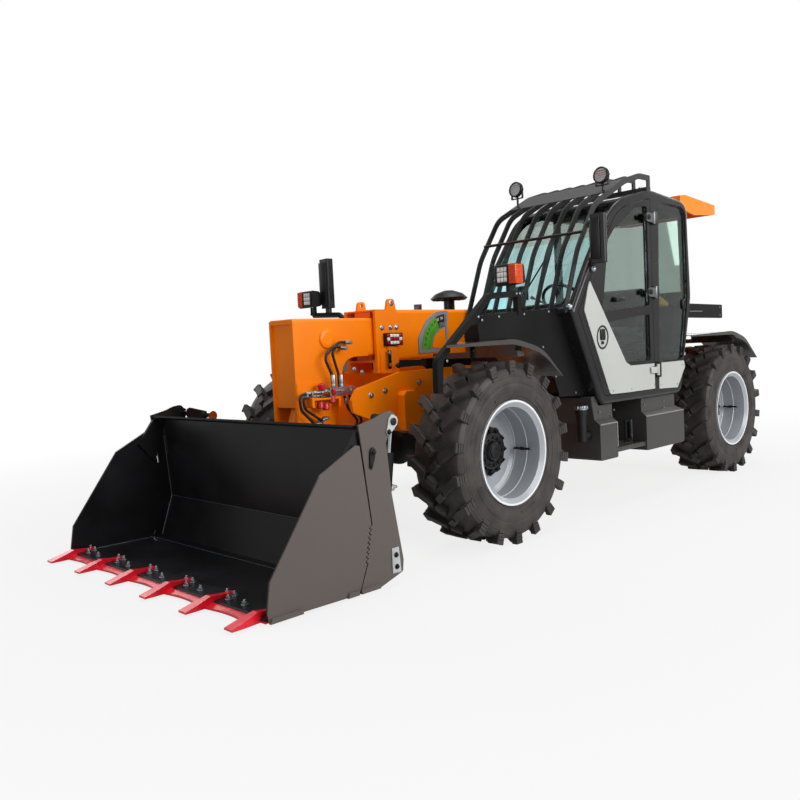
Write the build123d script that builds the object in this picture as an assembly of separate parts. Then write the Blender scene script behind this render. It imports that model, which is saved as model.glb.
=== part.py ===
from build123d import *
import math
import os

# Compact telehandler with a four-in-one bucket, in millimetres.
# It is laid out from the ground below the front axle: +X forward, +Y left, +Z up.
# Every piece is moved by MIDDLE_SHIFT when it is written, which puts the origin
# on the ground below the middle of the machine.

# ---------------------------------------------------------------- driving sizes
WHEELBASE = 3270.0
WHEEL_PLANE = 935.0        # centre plane of a wheel, from the middle of the machine
TYRE_RADIUS = 585.0        # over the lugs
TYRE_WIDTH = 400.0
LUG_HEIGHT = 38.0
LUGS_PER_SIDE = 18
RIM_SEAT = 305.0           # radius of the bead seat
RIM_FLANGE = 335.0
KING_PIN_Y = 740.0
FRAME_HALF = 330.0         # outer faces of the chassis side plates
FRAME_PLATE = 25.0
BOOM_HALF = 150.0          # half width of the outer boom
HEAD_HALF = 125.0          # half width of the inner boom and its head
BUCKET_HALF = 1116.0       # outer faces of the bucket's side plates
BUCKET_SIDE = 16.0
BUCKET_SHEET = 12.0
BUCKET_FLOOR_Z = 12.0
CAB_RIGHT, CAB_LEFT = 190.0, 1100.0
CAB_WALL = 45.0
GLASS = 6.0
REAR_REACH = 4150.0        # from the front axle to the rear end of the hitch
TOOTH_REACH = 2105.0       # from the front axle to the tips of the teeth
RUNNING = 0.3              # clearance of a pin or a shaft in its bore
SEAM = 5.0                 # gap round a door or a lid

REAR_AXLE = -WHEELBASE
MIDDLE_SHIFT = (REAR_REACH - TOOTH_REACH) / 2

# Joint axes, (x, z) in the middle plane unless a side is named.
BOOM_PIVOT = (-3100.0, 1470.0)
LIFT_ARM = 1020.0          # both ends of the lift cylinder are this far from the pivot
LIFT_FOOT_DEG, LIFT_EYE_DEG = -79.5, -19.5
TILT_PIN = (930.0, 400.0)
TILT_FOOT = (662.0, 1364.0)
TILT_ARM = 110.0
TILT_ARM_DEG = 70.0
CLAM_PIN = (1057.0, 888.0)
CLAM_LEVER = 150.0
CLAM_LEVER_DEG = 192.0
CLAM_FOOT = (1010.0, 240.0)
CLAM_CYLINDER_Y = 940.0
DOOR_HINGE = (-1900.0, CAB_LEFT + 16.0)
HOOD_HINGE = (-390.0, 1400.0)      # (y, z)


def polar(start, reach, degrees):
    return (start[0] + reach * math.cos(math.radians(degrees)),
            start[1] + reach * math.sin(math.radians(degrees)))


LIFT_FOOT = polar(BOOM_PIVOT, LIFT_ARM, LIFT_FOOT_DEG)
LIFT_EYE = polar(BOOM_PIVOT, LIFT_ARM, LIFT_EYE_DEG)
TILT_EYE = polar(TILT_PIN, TILT_ARM, TILT_ARM_DEG)
CLAM_EYE = polar(CLAM_PIN, CLAM_LEVER, CLAM_LEVER_DEG)


# ---------------------------------------------------------------- making shapes
def rounded_face(points, place):
    """Face with straight sides and a tangent arc at each corner that has a radius.
    A row of points is (u, v) or (u, v, corner radius)."""
    rows = [(Vector(p[0], p[1]), p[2] if len(p) > 2 else 0.0) for p in points]
    ends = []
    for i, (corner, radius) in enumerate(rows):
        before = (rows[i - 1][0] - corner).normalized()
        after = (rows[(i + 1) % len(rows)][0] - corner).normalized()
        if radius <= 0:
            ends.append((corner, corner, None))
            continue
        half = math.radians(before.get_angle(after)) / 2
        reach = radius / math.tan(half)
        centre = corner + (before + after).normalized() * (radius / math.sin(half))
        middle = centre + (corner - centre).normalized() * radius
        ends.append((corner + before * reach, corner + after * reach, middle))
    edges = []
    for i, (start, stop, middle) in enumerate(ends):
        last = ends[i - 1][1]
        if (start - last).length > 1e-6:
            edges.append(Edge.make_line(place(last), place(start)))
        if middle:
            edges.append(Edge.make_three_point_arc(place(start), place(middle), place(stop)))
    return Face(Wire(edges))


def side_plate(points, y0, y1):
    """Prism of an (x, z) outline from y0 to y1."""
    face = rounded_face(points, lambda p: Vector(p.X, y0, p.Y))
    return Solid.extrude(face, Vector(0, y1 - y0, 0))


def plan_plate(points, z0, z1):
    """Prism of an (x, y) outline from z0 to z1."""
    face = rounded_face(points, lambda p: Vector(p.X, p.Y, z0))
    return Solid.extrude(face, Vector(0, 0, z1 - z0))


def cross_plate(points, x0, x1):
    """Prism of a (y, z) outline from x0 to x1."""
    face = rounded_face(points, lambda p: Vector(x0, p.X, p.Y))
    return Solid.extrude(face, Vector(x1 - x0, 0, 0))


def block(x0, x1, y0, y1, z0, z1):
    corner = Plane(origin=(min(x0, x1), min(y0, y1), min(z0, z1)))
    return Solid.make_box(abs(x1 - x0), abs(y1 - y0), abs(z1 - z0), corner)


def rod(start, end, radius):
    along = Vector(*end) - Vector(*start)
    return Solid.make_cylinder(radius, along.length, Plane(origin=start, z_dir=along))


def cross_rod(centre, y0, y1, radius):
    """Cylinder along Y at (x, z)."""
    return rod((centre[0], y0, centre[1]), (centre[0], y1, centre[1]), radius)


def turned(points, origin=(0, 0, 0), axis=(0, 1, 0)):
    """Solid of revolution. A row of points is (along the axis, radius[, corner radius])."""
    flat = rounded_face(points, lambda p: Vector(p.Y, 0, p.X))
    solid = Solid.revolve(flat, 360, Axis.Z)
    return solid.moved(Plane(origin=origin, z_dir=axis).location)


def pipe(points, radius):
    """Round bar or hose through points in space. A row is (x, y, z[, bend radius])."""
    rows = [(Vector(*p[:3]), p[3] if len(p) > 3 else 0.0) for p in points]
    edges = []
    last = rows[0][0]
    for i in range(1, len(rows)):
        corner, bend = rows[i]
        if bend <= 0:
            edges.append(Edge.make_line(last, corner))
            last = corner
            continue
        before = (rows[i - 1][0] - corner).normalized()
        after = (rows[i + 1][0] - corner).normalized()
        half = math.radians(before.get_angle(after)) / 2
        start = corner + before * (bend / math.tan(half))
        stop = corner + after * (bend / math.tan(half))
        centre = corner + (before + after).normalized() * (bend / math.sin(half))
        edges.append(Edge.make_line(last, start))
        edges.append(Edge.make_three_point_arc(start, centre + (corner - centre).normalized() * bend,
                                               stop))
        last = stop
    first = Plane(origin=rows[0][0], z_dir=rows[1][0] - rows[0][0])
    section = Face(Wire([Edge.make_circle(radius, first)]))
    return Solid.sweep(section, Wire(edges))


def fused(*shapes):
    whole = shapes[0]
    for shape in shapes[1:]:
        whole = whole.fuse(shape)
    return whole


def mirrored(shape):
    return shape.mirror(Plane.XZ)


def both_sides(*shapes):
    """The shapes and their mirror images across the middle plane, as solids that don't touch."""
    found = []
    for shape in shapes:
        found += [shape, mirrored(shape)]
    return found


def inset(points, depth):
    """The same rounded outline, a depth further in. All corners of it stand out."""
    rows = [Vector(p[0], p[1]) for p in points]
    area = sum(a.X * b.Y - b.X * a.Y for a, b in zip(rows, rows[1:] + rows[:1]))
    turn = 1 if area > 0 else -1
    found = []
    for i, corner in enumerate(rows):
        before = (corner - rows[i - 1]).normalized()
        after = (rows[(i + 1) % len(rows)] - corner).normalized()
        normals = [Vector(-d.Y, d.X) * turn for d in (before, after)]
        middle = (normals[0] + normals[1]).normalized()
        moved = corner + middle * (depth / middle.dot(normals[0]))
        radius = points[i][2] if len(points[i]) > 2 else 0.0
        found.append((moved.X, moved.Y, max(radius - depth, 0.0)))
    return found


def between(start, end, share):
    return tuple(a + (b - a) * share for a, b in zip(start, end))


PIECES = {}


def piece(name, *shapes):
    """Keeps the solids of one node."""
    solids = []
    for shape in shapes:
        solids += shape if isinstance(shape, list) else [shape]
    PIECES[name] = solids


# ---------------------------------------------------------------- wheels
# (along the axle, radius) of the tyre: bead, sidewall and tread, without lugs.
TREAD_R = TYRE_RADIUS - LUG_HEIGHT
TYRE_HALF = TYRE_WIDTH / 2
TYRE_SECTION = [
    (-TYRE_HALF + 22.3, RIM_SEAT + RUNNING), (TYRE_HALF - 22.3, RIM_SEAT + RUNNING),
    (TYRE_HALF - 22.3, RIM_FLANGE + 4), (TYRE_HALF - 3, RIM_FLANGE + 42),
    (TYRE_HALF, RIM_FLANGE + 105), (TYRE_HALF - 8, TREAD_R - 48), (TYRE_HALF - 26, TREAD_R - 10),
    (0, TREAD_R), (-TYRE_HALF + 26, TREAD_R - 10), (-TYRE_HALF + 8, TREAD_R - 48),
    (-TYRE_HALF, RIM_FLANGE + 105), (-TYRE_HALF + 3, RIM_FLANGE + 42),
    (-TYRE_HALF + 22.3, RIM_FLANGE + 4)]
# (round the tread, along the axle) of one lug, from the middle to the shoulder.
LUG_OUTLINE = [(-34, -14), (16, -20), (84, 110), (104, TYRE_HALF - 2), (48, TYRE_HALF - 2), (30, 120)]


def make_tyre():
    tyre = turned(TYRE_SECTION)
    face = rounded_face(LUG_OUTLINE, lambda p: Vector(p.X, p.Y, TREAD_R - 42))
    lug = Solid.extrude(face, Vector(0, 0, LUG_HEIGHT + 60))
    skin = cross_rod((0, 0), -TYRE_HALF, TYRE_HALF, TYRE_RADIUS)
    lug = lug.intersect(skin)
    lug = lug.solids()[0] if hasattr(lug, "solids") else lug[0]
    step = 360 / LUGS_PER_SIDE
    lugs = []
    for i in range(LUGS_PER_SIDE):
        lugs.append(lug.rotate(Axis.Y, step * i))
        lugs.append(mirrored(lug).rotate(Axis.Y, step * (i + 0.5)))
    return tyre.fuse(*lugs)


# Rim with its deep disc and the planetary hub, (along the axle, radius).
SPINDLE_R = 60.0
SPINDLE_END = -46.0
RIM_HALF = TYRE_HALF - 22.0
RIM_SECTION = [
    (SPINDLE_END + RUNNING, 0), (SPINDLE_END + RUNNING, SPINDLE_R + RUNNING), (-105, SPINDLE_R + RUNNING),
    (-105, 120), (-72, 158), (-72, 268), (-96, RIM_SEAT - 14), (-RIM_HALF + 4, RIM_SEAT - 14),
    (-RIM_HALF - 12, RIM_FLANGE - 14), (-RIM_HALF - 12, RIM_FLANGE), (-RIM_HALF, RIM_FLANGE),
    (-RIM_HALF, RIM_SEAT), (RIM_HALF, RIM_SEAT), (RIM_HALF, RIM_FLANGE), (RIM_HALF + 12, RIM_FLANGE),
    (RIM_HALF + 12, RIM_FLANGE - 14), (RIM_HALF - 8, RIM_SEAT - 14), (-40, RIM_SEAT - 14), (-56, 262),
    (-56, 165), (-20, 158), (-20, 128), (8, 116), (8, 70), (30, 58), (30, 0)]


def make_wheels():
    tyre = make_tyre()
    rim = turned(RIM_SECTION)
    for end, x in (("front", 0.0), ("rear", REAR_AXLE)):
        for side, sign in (("left", 1), ("right", -1)):
            place = Location((x, sign * WHEEL_PLANE, TYRE_RADIUS))
            for name, shape in (("tyre", tyre), ("rim", rim)):
                whole = shape if sign > 0 else mirrored(shape)
                piece(f"{name}_{end}_{side}", whole.moved(place))


# ---------------------------------------------------------------- axles and knuckles
PIN_R = 28.0
YOKE_IN, YOKE_OUT = KING_PIN_Y - 120, KING_PIN_Y + 45
YOKE_HALF_HEIGHT, YOKE_GAP = 135.0, 95.0
AXLE_TOP = 700.0           # where the axle's saddles meet the chassis plates
DIFFERENTIAL = [(-150, 0), (-150, 75), (-105, 140, 20), (105, 140, 20), (150, 75), (150, 0)]


def make_axle(x):
    z = TYRE_RADIUS
    beam = cross_rod((x, z), -YOKE_IN - 20, YOKE_IN + 20, 75)
    axle = beam.fuse(turned(DIFFERENTIAL, (x, 0, z)))
    pinion = rod((x, 0, z), (x + (-230 if x == 0 else 230), 0, z), 62)
    axle = axle.fuse(pinion)
    for sign in (1, -1):
        yoke = block(x - 55, x + 55, sign * YOKE_IN, sign * YOKE_OUT, z - YOKE_HALF_HEIGHT,
                     z + YOKE_HALF_HEIGHT)
        slot = block(x - 60, x + 60, sign * (YOKE_IN + 40), sign * (YOKE_OUT + 10), z - YOKE_GAP,
                     z + YOKE_GAP)
        bore = rod((x, sign * KING_PIN_Y, z - 200), (x, sign * KING_PIN_Y, z + 200), PIN_R + RUNNING)
        saddle = block(x - 90, x + 90, sign * (FRAME_HALF - 110), sign * FRAME_HALF, z, AXLE_TOP)
        axle = axle.fuse(yoke).cut(slot, bore).fuse(saddle)
    return axle


def make_knuckle(x, sign):
    z = TYRE_RADIUS
    y = sign * KING_PIN_Y
    body = block(x - 48, x + 48, y - 48, y + 48, z - YOKE_GAP + 1, z + YOKE_GAP - 1)
    pin = rod((x, y, z - YOKE_HALF_HEIGHT), (x, y, z + YOKE_HALF_HEIGHT), PIN_R)
    spindle = rod((x, y, z), (x, sign * (WHEEL_PLANE + SPINDLE_END), z), SPINDLE_R)
    return fused(body, pin, spindle)


def make_running_gear():
    piece("axles", make_axle(0.0), make_axle(REAR_AXLE))
    for end, x in (("front", 0.0), ("rear", REAR_AXLE)):
        for side, sign in (("left", 1), ("right", -1)):
            piece(f"knuckle_{end}_{side}", make_knuckle(x, sign))


# ---------------------------------------------------------------- chassis
FRAME_REAR = -REAR_REACH + 165.0
SLAB = 105.0               # thickness of the counterweight slab
TOW_PIN_R = 16.0
FRAME_OUTLINE = [
    (FRAME_REAR, 560, 30), (FRAME_REAR, 980, 60), (-3460, 1040, 80), (-3330, 1600, 90), (-2880, 1600, 90),
    (-2610, 780, 120), (-1080, 780, 100), (-700, 1130, 100), (200, 1120, 60), (600, 1030, 30),
    (650, 960, 25), (640, 880, 25), (180, AXLE_TOP), (-180, AXLE_TOP), (-360, 395, 60), (-2980, 395, 60),
    (-3100, AXLE_TOP),
    (-3460, AXLE_TOP), (-3600, 560, 40)]
FRAME_IN = FRAME_HALF - FRAME_PLATE
PIVOT_PIN_R = 45.0
LIFT_PIN_R = 32.0
FRAME_BEAMS = [            # (x0, x1, z0, z1) of the cross members between the plates
    (90, 240, AXLE_TOP + 20, 985), (-760, -640, 500, 800), (-2200, -2080, 490, 760),
    (-3960, -3900, 600, 900)]


def make_chassis():
    plate = side_plate(FRAME_OUTLINE, FRAME_IN, FRAME_HALF)
    frame = [plate, mirrored(plate)]
    frame += [block(x0, x1, -FRAME_IN, FRAME_IN, z0, z1) for x0, x1, z0, z1 in FRAME_BEAMS]
    nose = [(90, 770, 10), (90, 960, 10), (120, 990, 10), (215, 990, 10), (240, 965, 10), (240, 740, 10),
            (220, 720, 10)]
    frame.append(side_plate(nose, -FRAME_HALF - 70, FRAME_HALF + 70))
    frame.append(cross_rod(BOOM_PIVOT, -FRAME_HALF - 15, FRAME_HALF + 15, PIVOT_PIN_R))
    frame.append(cross_rod(LIFT_FOOT, -FRAME_HALF - 10, FRAME_HALF + 10, LIFT_PIN_R))
    piece("chassis_frame", fused(*frame))
    back = FRAME_REAR - SLAB
    slab = plan_plate([
        (FRAME_REAR, -790), (FRAME_REAR, 790), (back + 50, 790, 30), (back, 700, 40), (back, -700, 40),
        (back + 50, -790, 30)], 560, 1060)
    ears = [block(back + 1, -REAR_REACH, -45, 45, z, z + 22) for z in (610, 700)]
    hole = rod((-REAR_REACH + 28, 0, 500), (-REAR_REACH + 28, 0, 800), TOW_PIN_R)
    piece("counterweight", fused(slab, *ears).cut(hole))


# ---------------------------------------------------------------- fenders
# (x from the axle, top height) of a fender's crown; a thin skin with a lip outside.
FENDER_SKIN = 6.0
FENDER_IN, FENDER_OUT = 690.0, 1132.0
FRONT_FENDER = [(620, 1280), (-40, 1304, 560), (-330, 1236, 420), (-548, 1046)]
REAR_FENDER = [(810, 1268), (-20, 1290, 560), (-290, 1222, 420), (-545, 1030)]
FENDER_ARM_X, FENDER_ARM_Z = -170.0, 1190.0
# Plan of what is cut away: in front of the left front fender's slanting end, and of the right one's.
FENDER_NOSE = [(660, 600), (660, 1150), (636, 1150), (440, 1015), (415, 950), (110, 680), (110, 600)]
RIGHT_FENDER_FRONT = 20.0


def make_fender(crown, x):
    under = [(px, pz - FENDER_SKIN, p[0] if p else 0) for px, pz, *p in reversed(crown)]
    skin = side_plate([(px + x, pz, *p) for px, pz, *p in crown] + [(px + x, *p) for px, *p in under],
                      FENDER_IN, FENDER_OUT)
    deep = [(px, pz - 34, p[0] if p else 0) for px, pz, *p in reversed(crown)]
    deep[0] = (crown[-1][0] - 4, crown[-1][1] - 8, 0)
    deep[-1] = (crown[0][0], crown[0][1] - 12, 0)
    lip = side_plate([(px + x, pz, *p) for px, pz, *p in crown] + [(px + x, *p) for px, *p in deep],
                     FENDER_OUT - 8, FENDER_OUT)
    ax = x + FENDER_ARM_X
    arm = block(ax - 35, ax + 35, FRAME_HALF, FENDER_OUT - 60, FENDER_ARM_Z, FENDER_ARM_Z + 40)
    below = side_plate([(px + x, pz, *p) for px, pz, *p in crown] + [(crown[-1][0] + x, 700),
                                                                     (crown[0][0] + x, 700)],
                       FENDER_IN, FENDER_OUT)
    web = block(ax - 35, ax + 35, FENDER_IN + 20, FENDER_OUT - 80, FENDER_ARM_Z + 10,
                1500).intersect(below).solids()[0]
    panel = block(x - 480, x - 105, FENDER_IN, FENDER_IN + 8, FENDER_ARM_Z,
                  1500).intersect(below).solids()[0]
    return fused(skin, lip, arm, web, panel)


def make_fenders():
    front = make_fender(FRONT_FENDER, 0.0)
    post = block(FENDER_ARM_X - 35, FENDER_ARM_X + 35, FRAME_HALF, FRAME_HALF + 12, 1050,
                 FENDER_ARM_Z + 40)
    rear = make_fender(REAR_FENDER, REAR_AXLE)
    rear_post = post.moved(Location((REAR_AXLE, 0, 0)))
    left = front.cut(plan_plate(FENDER_NOSE, 900, 1400)).fuse(post)
    right = mirrored(front).cut(block(RIGHT_FENDER_FRONT, 700, -FENDER_OUT - SEAM, -600, 900,
                                      1400)).fuse(mirrored(post))
    piece("fenders", left, right, both_sides(rear.fuse(rear_post)))


def arch_space(sign):
    """What a front fender covers, a seam wider than it."""
    outline = [(x, z, *r) for x, z, *r in FRONT_FENDER] + [(FRONT_FENDER[-1][0], 700),
                                                           (FRONT_FENDER[0][0], 700)]
    y0, y1 = sorted((sign * (FENDER_IN - SEAM), sign * (FENDER_OUT + SEAM)))
    return side_plate(outline, y0, y1)


# ---------------------------------------------------------------- cab
# (x, z, corner radius) of the cab seen from its left.
CAB_SIDE = [
    (-740, 1475, 50), (-1085, 795, 110), (-2325, 795, 90), (-2545, 1590, 250), (-2512, 2378, 120),
    (-1900, 2425, 500), (-1350, 2290, 450), (-1000, 1850, 700)]
CAB_FRONT_SILL = 1535.0
REAR_SILL = 1640.0
B_PILLAR = (-1935.0, -1880.0)
ROOF_BAR = (-1480.0, -1400.0)
DOOR_IN = 62.0             # width of the cab's own edge round the door
DOOR_DEPTH = 40.0
SIDE_WINDOW = [(-2010, 2340, 30), (-1960, 1075, 20), (-2365, 1075, 60), (-2478, 1610, 100),
               (-2470, 2330, 90)]
UPPER_GLASS = [(-1822, 1522, 20), (-1822, 2288, 20), (-1640, 2262, 200), (-1330, 2085, 300),
               (-1235, 1995, 60), (-1132, 1468, 20)]
LOWER_GLASS = [(-1818, 1090, 30), (-1818, 1450, 20), (-1185, 1396, 20), (-1430, 1092, 40)]
SIDE_PANEL_TOP = 1062.0


def cab_prism(depth, y0, y1):
    return side_plate(inset(CAB_SIDE, depth) if depth else CAB_SIDE, y0, y1)


def door_blank(depth, y0, y1):
    """Prism of the door's outline: the front part of the cab's side, a depth inside it."""
    whole = cab_prism(depth, y0, y1)
    keep = block(B_PILLAR[1] + depth - DOOR_IN, 0, y0, y1, 0, 3000)
    return whole.intersect(keep).solids()[0]


def make_cab():
    outer = cab_prism(0, CAB_RIGHT, CAB_LEFT)
    edges = outer.faces().sort_by(Axis.Y)[-1].edges() + outer.faces().sort_by(Axis.Y)[0].edges()
    outer = outer.fillet(26, edges)
    inner = cab_prism(CAB_WALL, CAB_RIGHT + CAB_WALL, CAB_LEFT - CAB_WALL)
    inner_left, inner_right = CAB_LEFT - CAB_WALL - 10, CAB_RIGHT + CAB_WALL + 10
    screen = block(-500, ROOF_BAR[1], inner_right, inner_left, CAB_FRONT_SILL, 2700)
    roof = block(ROOF_BAR[0], -2120, inner_right + 20, inner_left - 20, 2300, 2700)
    rear = block(-2400, -2700, inner_right + 20, inner_left - 20, REAR_SILL, 2260)
    doorway = door_blank(DOOR_IN, CAB_LEFT - 70, CAB_LEFT + 20)
    side_light = side_plate(SIDE_WINDOW, CAB_LEFT - 70, CAB_LEFT + 20)
    right_light = side_plate(inset(CAB_SIDE, 75), CAB_RIGHT - 20, CAB_RIGHT + 70)
    right_light = right_light.intersect(block(-2600, -600, 0, 400, 1250, 2700)).solids()[0]
    right_light = right_light.cut(block(*B_PILLAR, 0, 400, 1000, 2700))
    cab = outer.cut(inner, screen, roof, rear, doorway, side_light, *right_light.solids())
    piece("cab_frame", cab)
    # Panes lie in the middle of the wall, in their openings.
    mid_left = (CAB_LEFT - 24, CAB_LEFT - 24 + GLASS)
    pane_left = side_plate(inset(SIDE_WINDOW, 0.3), *mid_left)
    pane_right = [s.intersect(block(-2700, 0, CAB_RIGHT + 18, CAB_RIGHT + 18 + GLASS, 0,
                                    3000)).solids()[0]
                  for s in right_light.solids()]
    band = cab_prism(18, inner_right + 0.3, inner_left - 0.3).cut(cab_prism(18 + GLASS, 0, 2000))
    screen_pane = band.intersect(block(-500, ROOF_BAR[1] + 0.3, 0, 2000, CAB_FRONT_SILL + 0.3,
                                       2700)).solids()[0]
    roof_pane = band.intersect(
        block(ROOF_BAR[0] - 0.3, -2119.7, inner_right + 20.3, inner_left - 20.3, 2305, 2700)).solids()[0]
    rear_pane = band.intersect(
        block(-2400, -2700, inner_right + 20.3, inner_left - 20.3, REAR_SILL + 0.3, 2259.7)).solids()[0]
    piece("cab_glass", pane_left, pane_right, screen_pane, roof_pane, rear_pane)


def make_door():
    y0, y1 = CAB_LEFT - DOOR_DEPTH, CAB_LEFT
    leaf = door_blank(DOOR_IN + SEAM, y0, y1)
    leaf = leaf.cut(side_plate(UPPER_GLASS, y0 - 5, y1 + 5), side_plate(LOWER_GLASS, y0 - 5, y1 + 5))
    # Rebate at the upper rear corner, which turns inside the doorway as the door opens.
    leaf = leaf.cut(block(B_PILLAR[1], B_PILLAR[1] + 45, y0 - 5, y1 - 16, 2328, 2400))
    hx, hy = DOOR_HINGE
    barrels = [rod((hx, hy, z - 30), (hx, hy, z + 30), 11) for z in (1010, 1620, 2200)]
    flaps = [block(hx, hx + 70, CAB_LEFT, CAB_LEFT + 12, z - 28, z + 28) for z in (1010, 1620, 2200)]
    piece("door_frame", fused(leaf, *flaps, *barrels))
    mid = (CAB_LEFT - 24, CAB_LEFT - 24 + GLASS)
    piece("door_glass", side_plate(inset(UPPER_GLASS, 0.3), *mid),
          side_plate(inset(LOWER_GLASS, 0.3), *mid))
    # The pale skin covers the door from its front edge back to the lower window.
    front = [(-962, 1700, 4), (-884, 1484, 40), (-1196, 866, 40), (B_PILLAR[1] + SEAM + 8, 856),
             (B_PILLAR[1] + SEAM + 8, SIDE_PANEL_TOP),
             (-1500, SIDE_PANEL_TOP, 60), (-1432, 1092, 30), (-1030, 1610, 30)]
    skin = side_plate(front, CAB_LEFT, CAB_LEFT + 5)
    skin = skin.intersect(door_blank(DOOR_IN + SEAM, CAB_LEFT - 1, CAB_LEFT + 9)).solids()[0]
    piece("door_panel", skin.cut(*flaps))
    rear = [(B_PILLAR[0] - 4, 856), (-2245, 846, 20), (-2385, 1010, 30), (-2370, SIDE_PANEL_TOP, 10),
            (B_PILLAR[0] - 4, SIDE_PANEL_TOP)]
    piece("side_panel", side_plate(rear, CAB_LEFT, CAB_LEFT + 5))


# (x, z, corner radius) of the top edge of the roof guard's rails, front to rear.
GUARD_RAIL = [(-700, 1495), (-880, 1930, 500), (-1130, 2270, 300), (-1560, 2480, 400),
              (-1790, 2545, 200), (-1960, 2545, 10), (-1960, 2440)]
GUARD_DEPTH = 42.0
GUARD_BARS = 8
GUARD_THICK = 12.0
GUARD_Y = (168.0, 1062.0)


def make_guard(cowl):
    under = [(-738, 1480), (-918, 1912, 460), (-1158, 2238, 260), (-1575, 2440, 360), (-1795, 2502, 160),
             (-1918, 2503, 2), (-1918, 2440)]
    first, last = GUARD_Y
    bars = []
    for i in range(GUARD_BARS):
        y = first + (last - GUARD_THICK - first) * i / (GUARD_BARS - 1)
        bars.append(side_plate(GUARD_RAIL + under[::-1], y, y + GUARD_THICK))
    front = side_plate([(-700, 1495), (-712, 1466), (-752, 1482), (-738, 1512)], first, last)
    band = block(-1300, -1560, first, last, 2300, 2700)
    shell = side_plate(GUARD_RAIL + [(-1954, 2440), (-1954, 2537), (-1790, 2537, 192),
                                     (-1560, 2472, 392), (-1130, 2262, 292),
                                     (-880, 1922, 492), (-706, 1500)], first, last)
    band = shell.intersect(band).solids()[0]
    tie = side_plate([(-960, 2030), (-950, 2045), (-962, 2052), (-972, 2037)], first, last)
    foot = block(-1965, -1905, first, last, 2420, 2452)
    feet = [block(-1965, -1905, y, y + 60, 2405, 2445) for y in (first + 40, last - 100)]
    lugs = [block(-770, -730, y, y + 20, 1470, 1492) for y in (first + 60, last - 80)]
    guard = fused(bars[0], *bars[1:], front, band, tie, foot, *feet, *lugs)
    guard = guard.cut(cowl, cab_prism(0, CAB_RIGHT - 50, CAB_LEFT + 5))
    piece("roof_guard", max(guard.solids(), key=lambda solid: solid.volume))


def make_cab_fittings():
    visor = side_plate([(-2560, 2452, 8), (-3128, 2412, 8), (-3128, 2330, 8), (-2730, 2296, 20),
                        (-2470, 2336), (-2470, 2440)], 230, 1060)
    hollow = side_plate([(-2600, 2425), (-3105, 2395), (-3105, 2300), (-2740, 2270), (-2600, 2300)], 245,
                        1045)
    piece("roof_visor", visor.cut(hollow, cab_prism(0, CAB_RIGHT, CAB_LEFT)))
    # Seat: squab, back and base.
    squab = side_plate([(-2180, 1235, 30), (-2180, 1330, 40), (-1700, 1350, 50), (-1690, 1260, 30)], 410,
                       880)
    back = side_plate([(-2150, 1331.5), (-2280, 1665, 40), (-2190, 1690, 40), (-2060, 1335.4)], 430, 860)
    stem = block(-2130, -1760, 470, 820, 840.3, 1290)
    piece("seat", squab.fuse(stem), back)
    dash = side_plate([(-1130, 840.3), (-1000, 1000, 40), (-905, 1500, 40), (-960, 1560, 30),
                       (-1180, 1440, 40), (-1240, 1250, 60), (-1230, 840.3)], 460, 840)
    column = rod((-1130, 650, 1380), (-1330, 650, 1560), 32)
    dash = dash.intersect(cab_prism(CAB_WALL, CAB_RIGHT + CAB_WALL, CAB_LEFT - CAB_WALL)).solids()[0]
    piece("dashboard", dash.fuse(column))
    wheel_at = Plane(origin=(-1336, 650, 1566), z_dir=(-200, 0, 180))
    ring = Solid.make_torus(185, 13, wheel_at)
    hub = Solid.make_cylinder(38, 22, wheel_at.offset(-8))
    local = wheel_at.from_local_coords
    spokes = [rod(local((0, -178, 0)), local((0, 178, 0)), 7),
              rod(local((-178, 0, 0)), local((0, 0, 0)), 7)]
    piece("steering_wheel", ring.fuse(*spokes).fuse(hub))


# ---------------------------------------------------------------- boxes, cowl and lamps on the left
def make_left_boxes():
    top = 795.0
    front = side_plate([(-1000, 860, 10), (-1046, 655, 10), (-1046, 390, 15), (-1286, 390, 15),
                        (-1286, 790), (-1100, 790), (-1052, 860, 10)], FRAME_HALF, CAB_LEFT)
    rear = side_plate([(-1720, 385, 15), (-2350, 385, 30), (-2350, 655, 15), (-2270, 700, 10),
                       (-2270, top), (-1720, top)], FRAME_HALF, CAB_LEFT)
    back = block(-1286, -1720, FRAME_HALF, 760, 430, top)
    tread = block(-1286, -1720, 760, CAB_LEFT - 10, 425, 450)
    shelf = cross_plate([(CAB_LEFT + 2, 652), (CAB_LEFT - 42, 690), (CAB_LEFT - 42, 1000),
                         (CAB_LEFT + 2, 1000)], -2400, -900)
    boxes = fused(front, rear, back, tread).cut(shelf)
    piece("left_boxes", boxes.cut(cab_prism(0, CAB_RIGHT, CAB_LEFT + 5)))
    x = -960
    elbow = rod((x, 1000, 540), (x, 1000, 735), 36).fuse(
        rod((-1046, 1000, 575), (x, 1000, 575), 34), rod((x, 1000, 735), (x, 1000, 770), 44))
    piece("filler_neck", elbow)


# (x, z, corner radius) of the bar that rises from the fender's front to the head lamp.
LAMP_ARM = [(560, 1000, 10), (556, 1200, 50), (40, 1600, 40), (-290, 1622, 10), (-290, 1582, 5),
            (22, 1562, 40), (500, 1195, 50), (518, 1000, 10)]
COWL_FRONT = -690.0        # front of the deep part, under the guard's foot
WING_IN = 880.0            # inner face of the wing over the front fender


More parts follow.
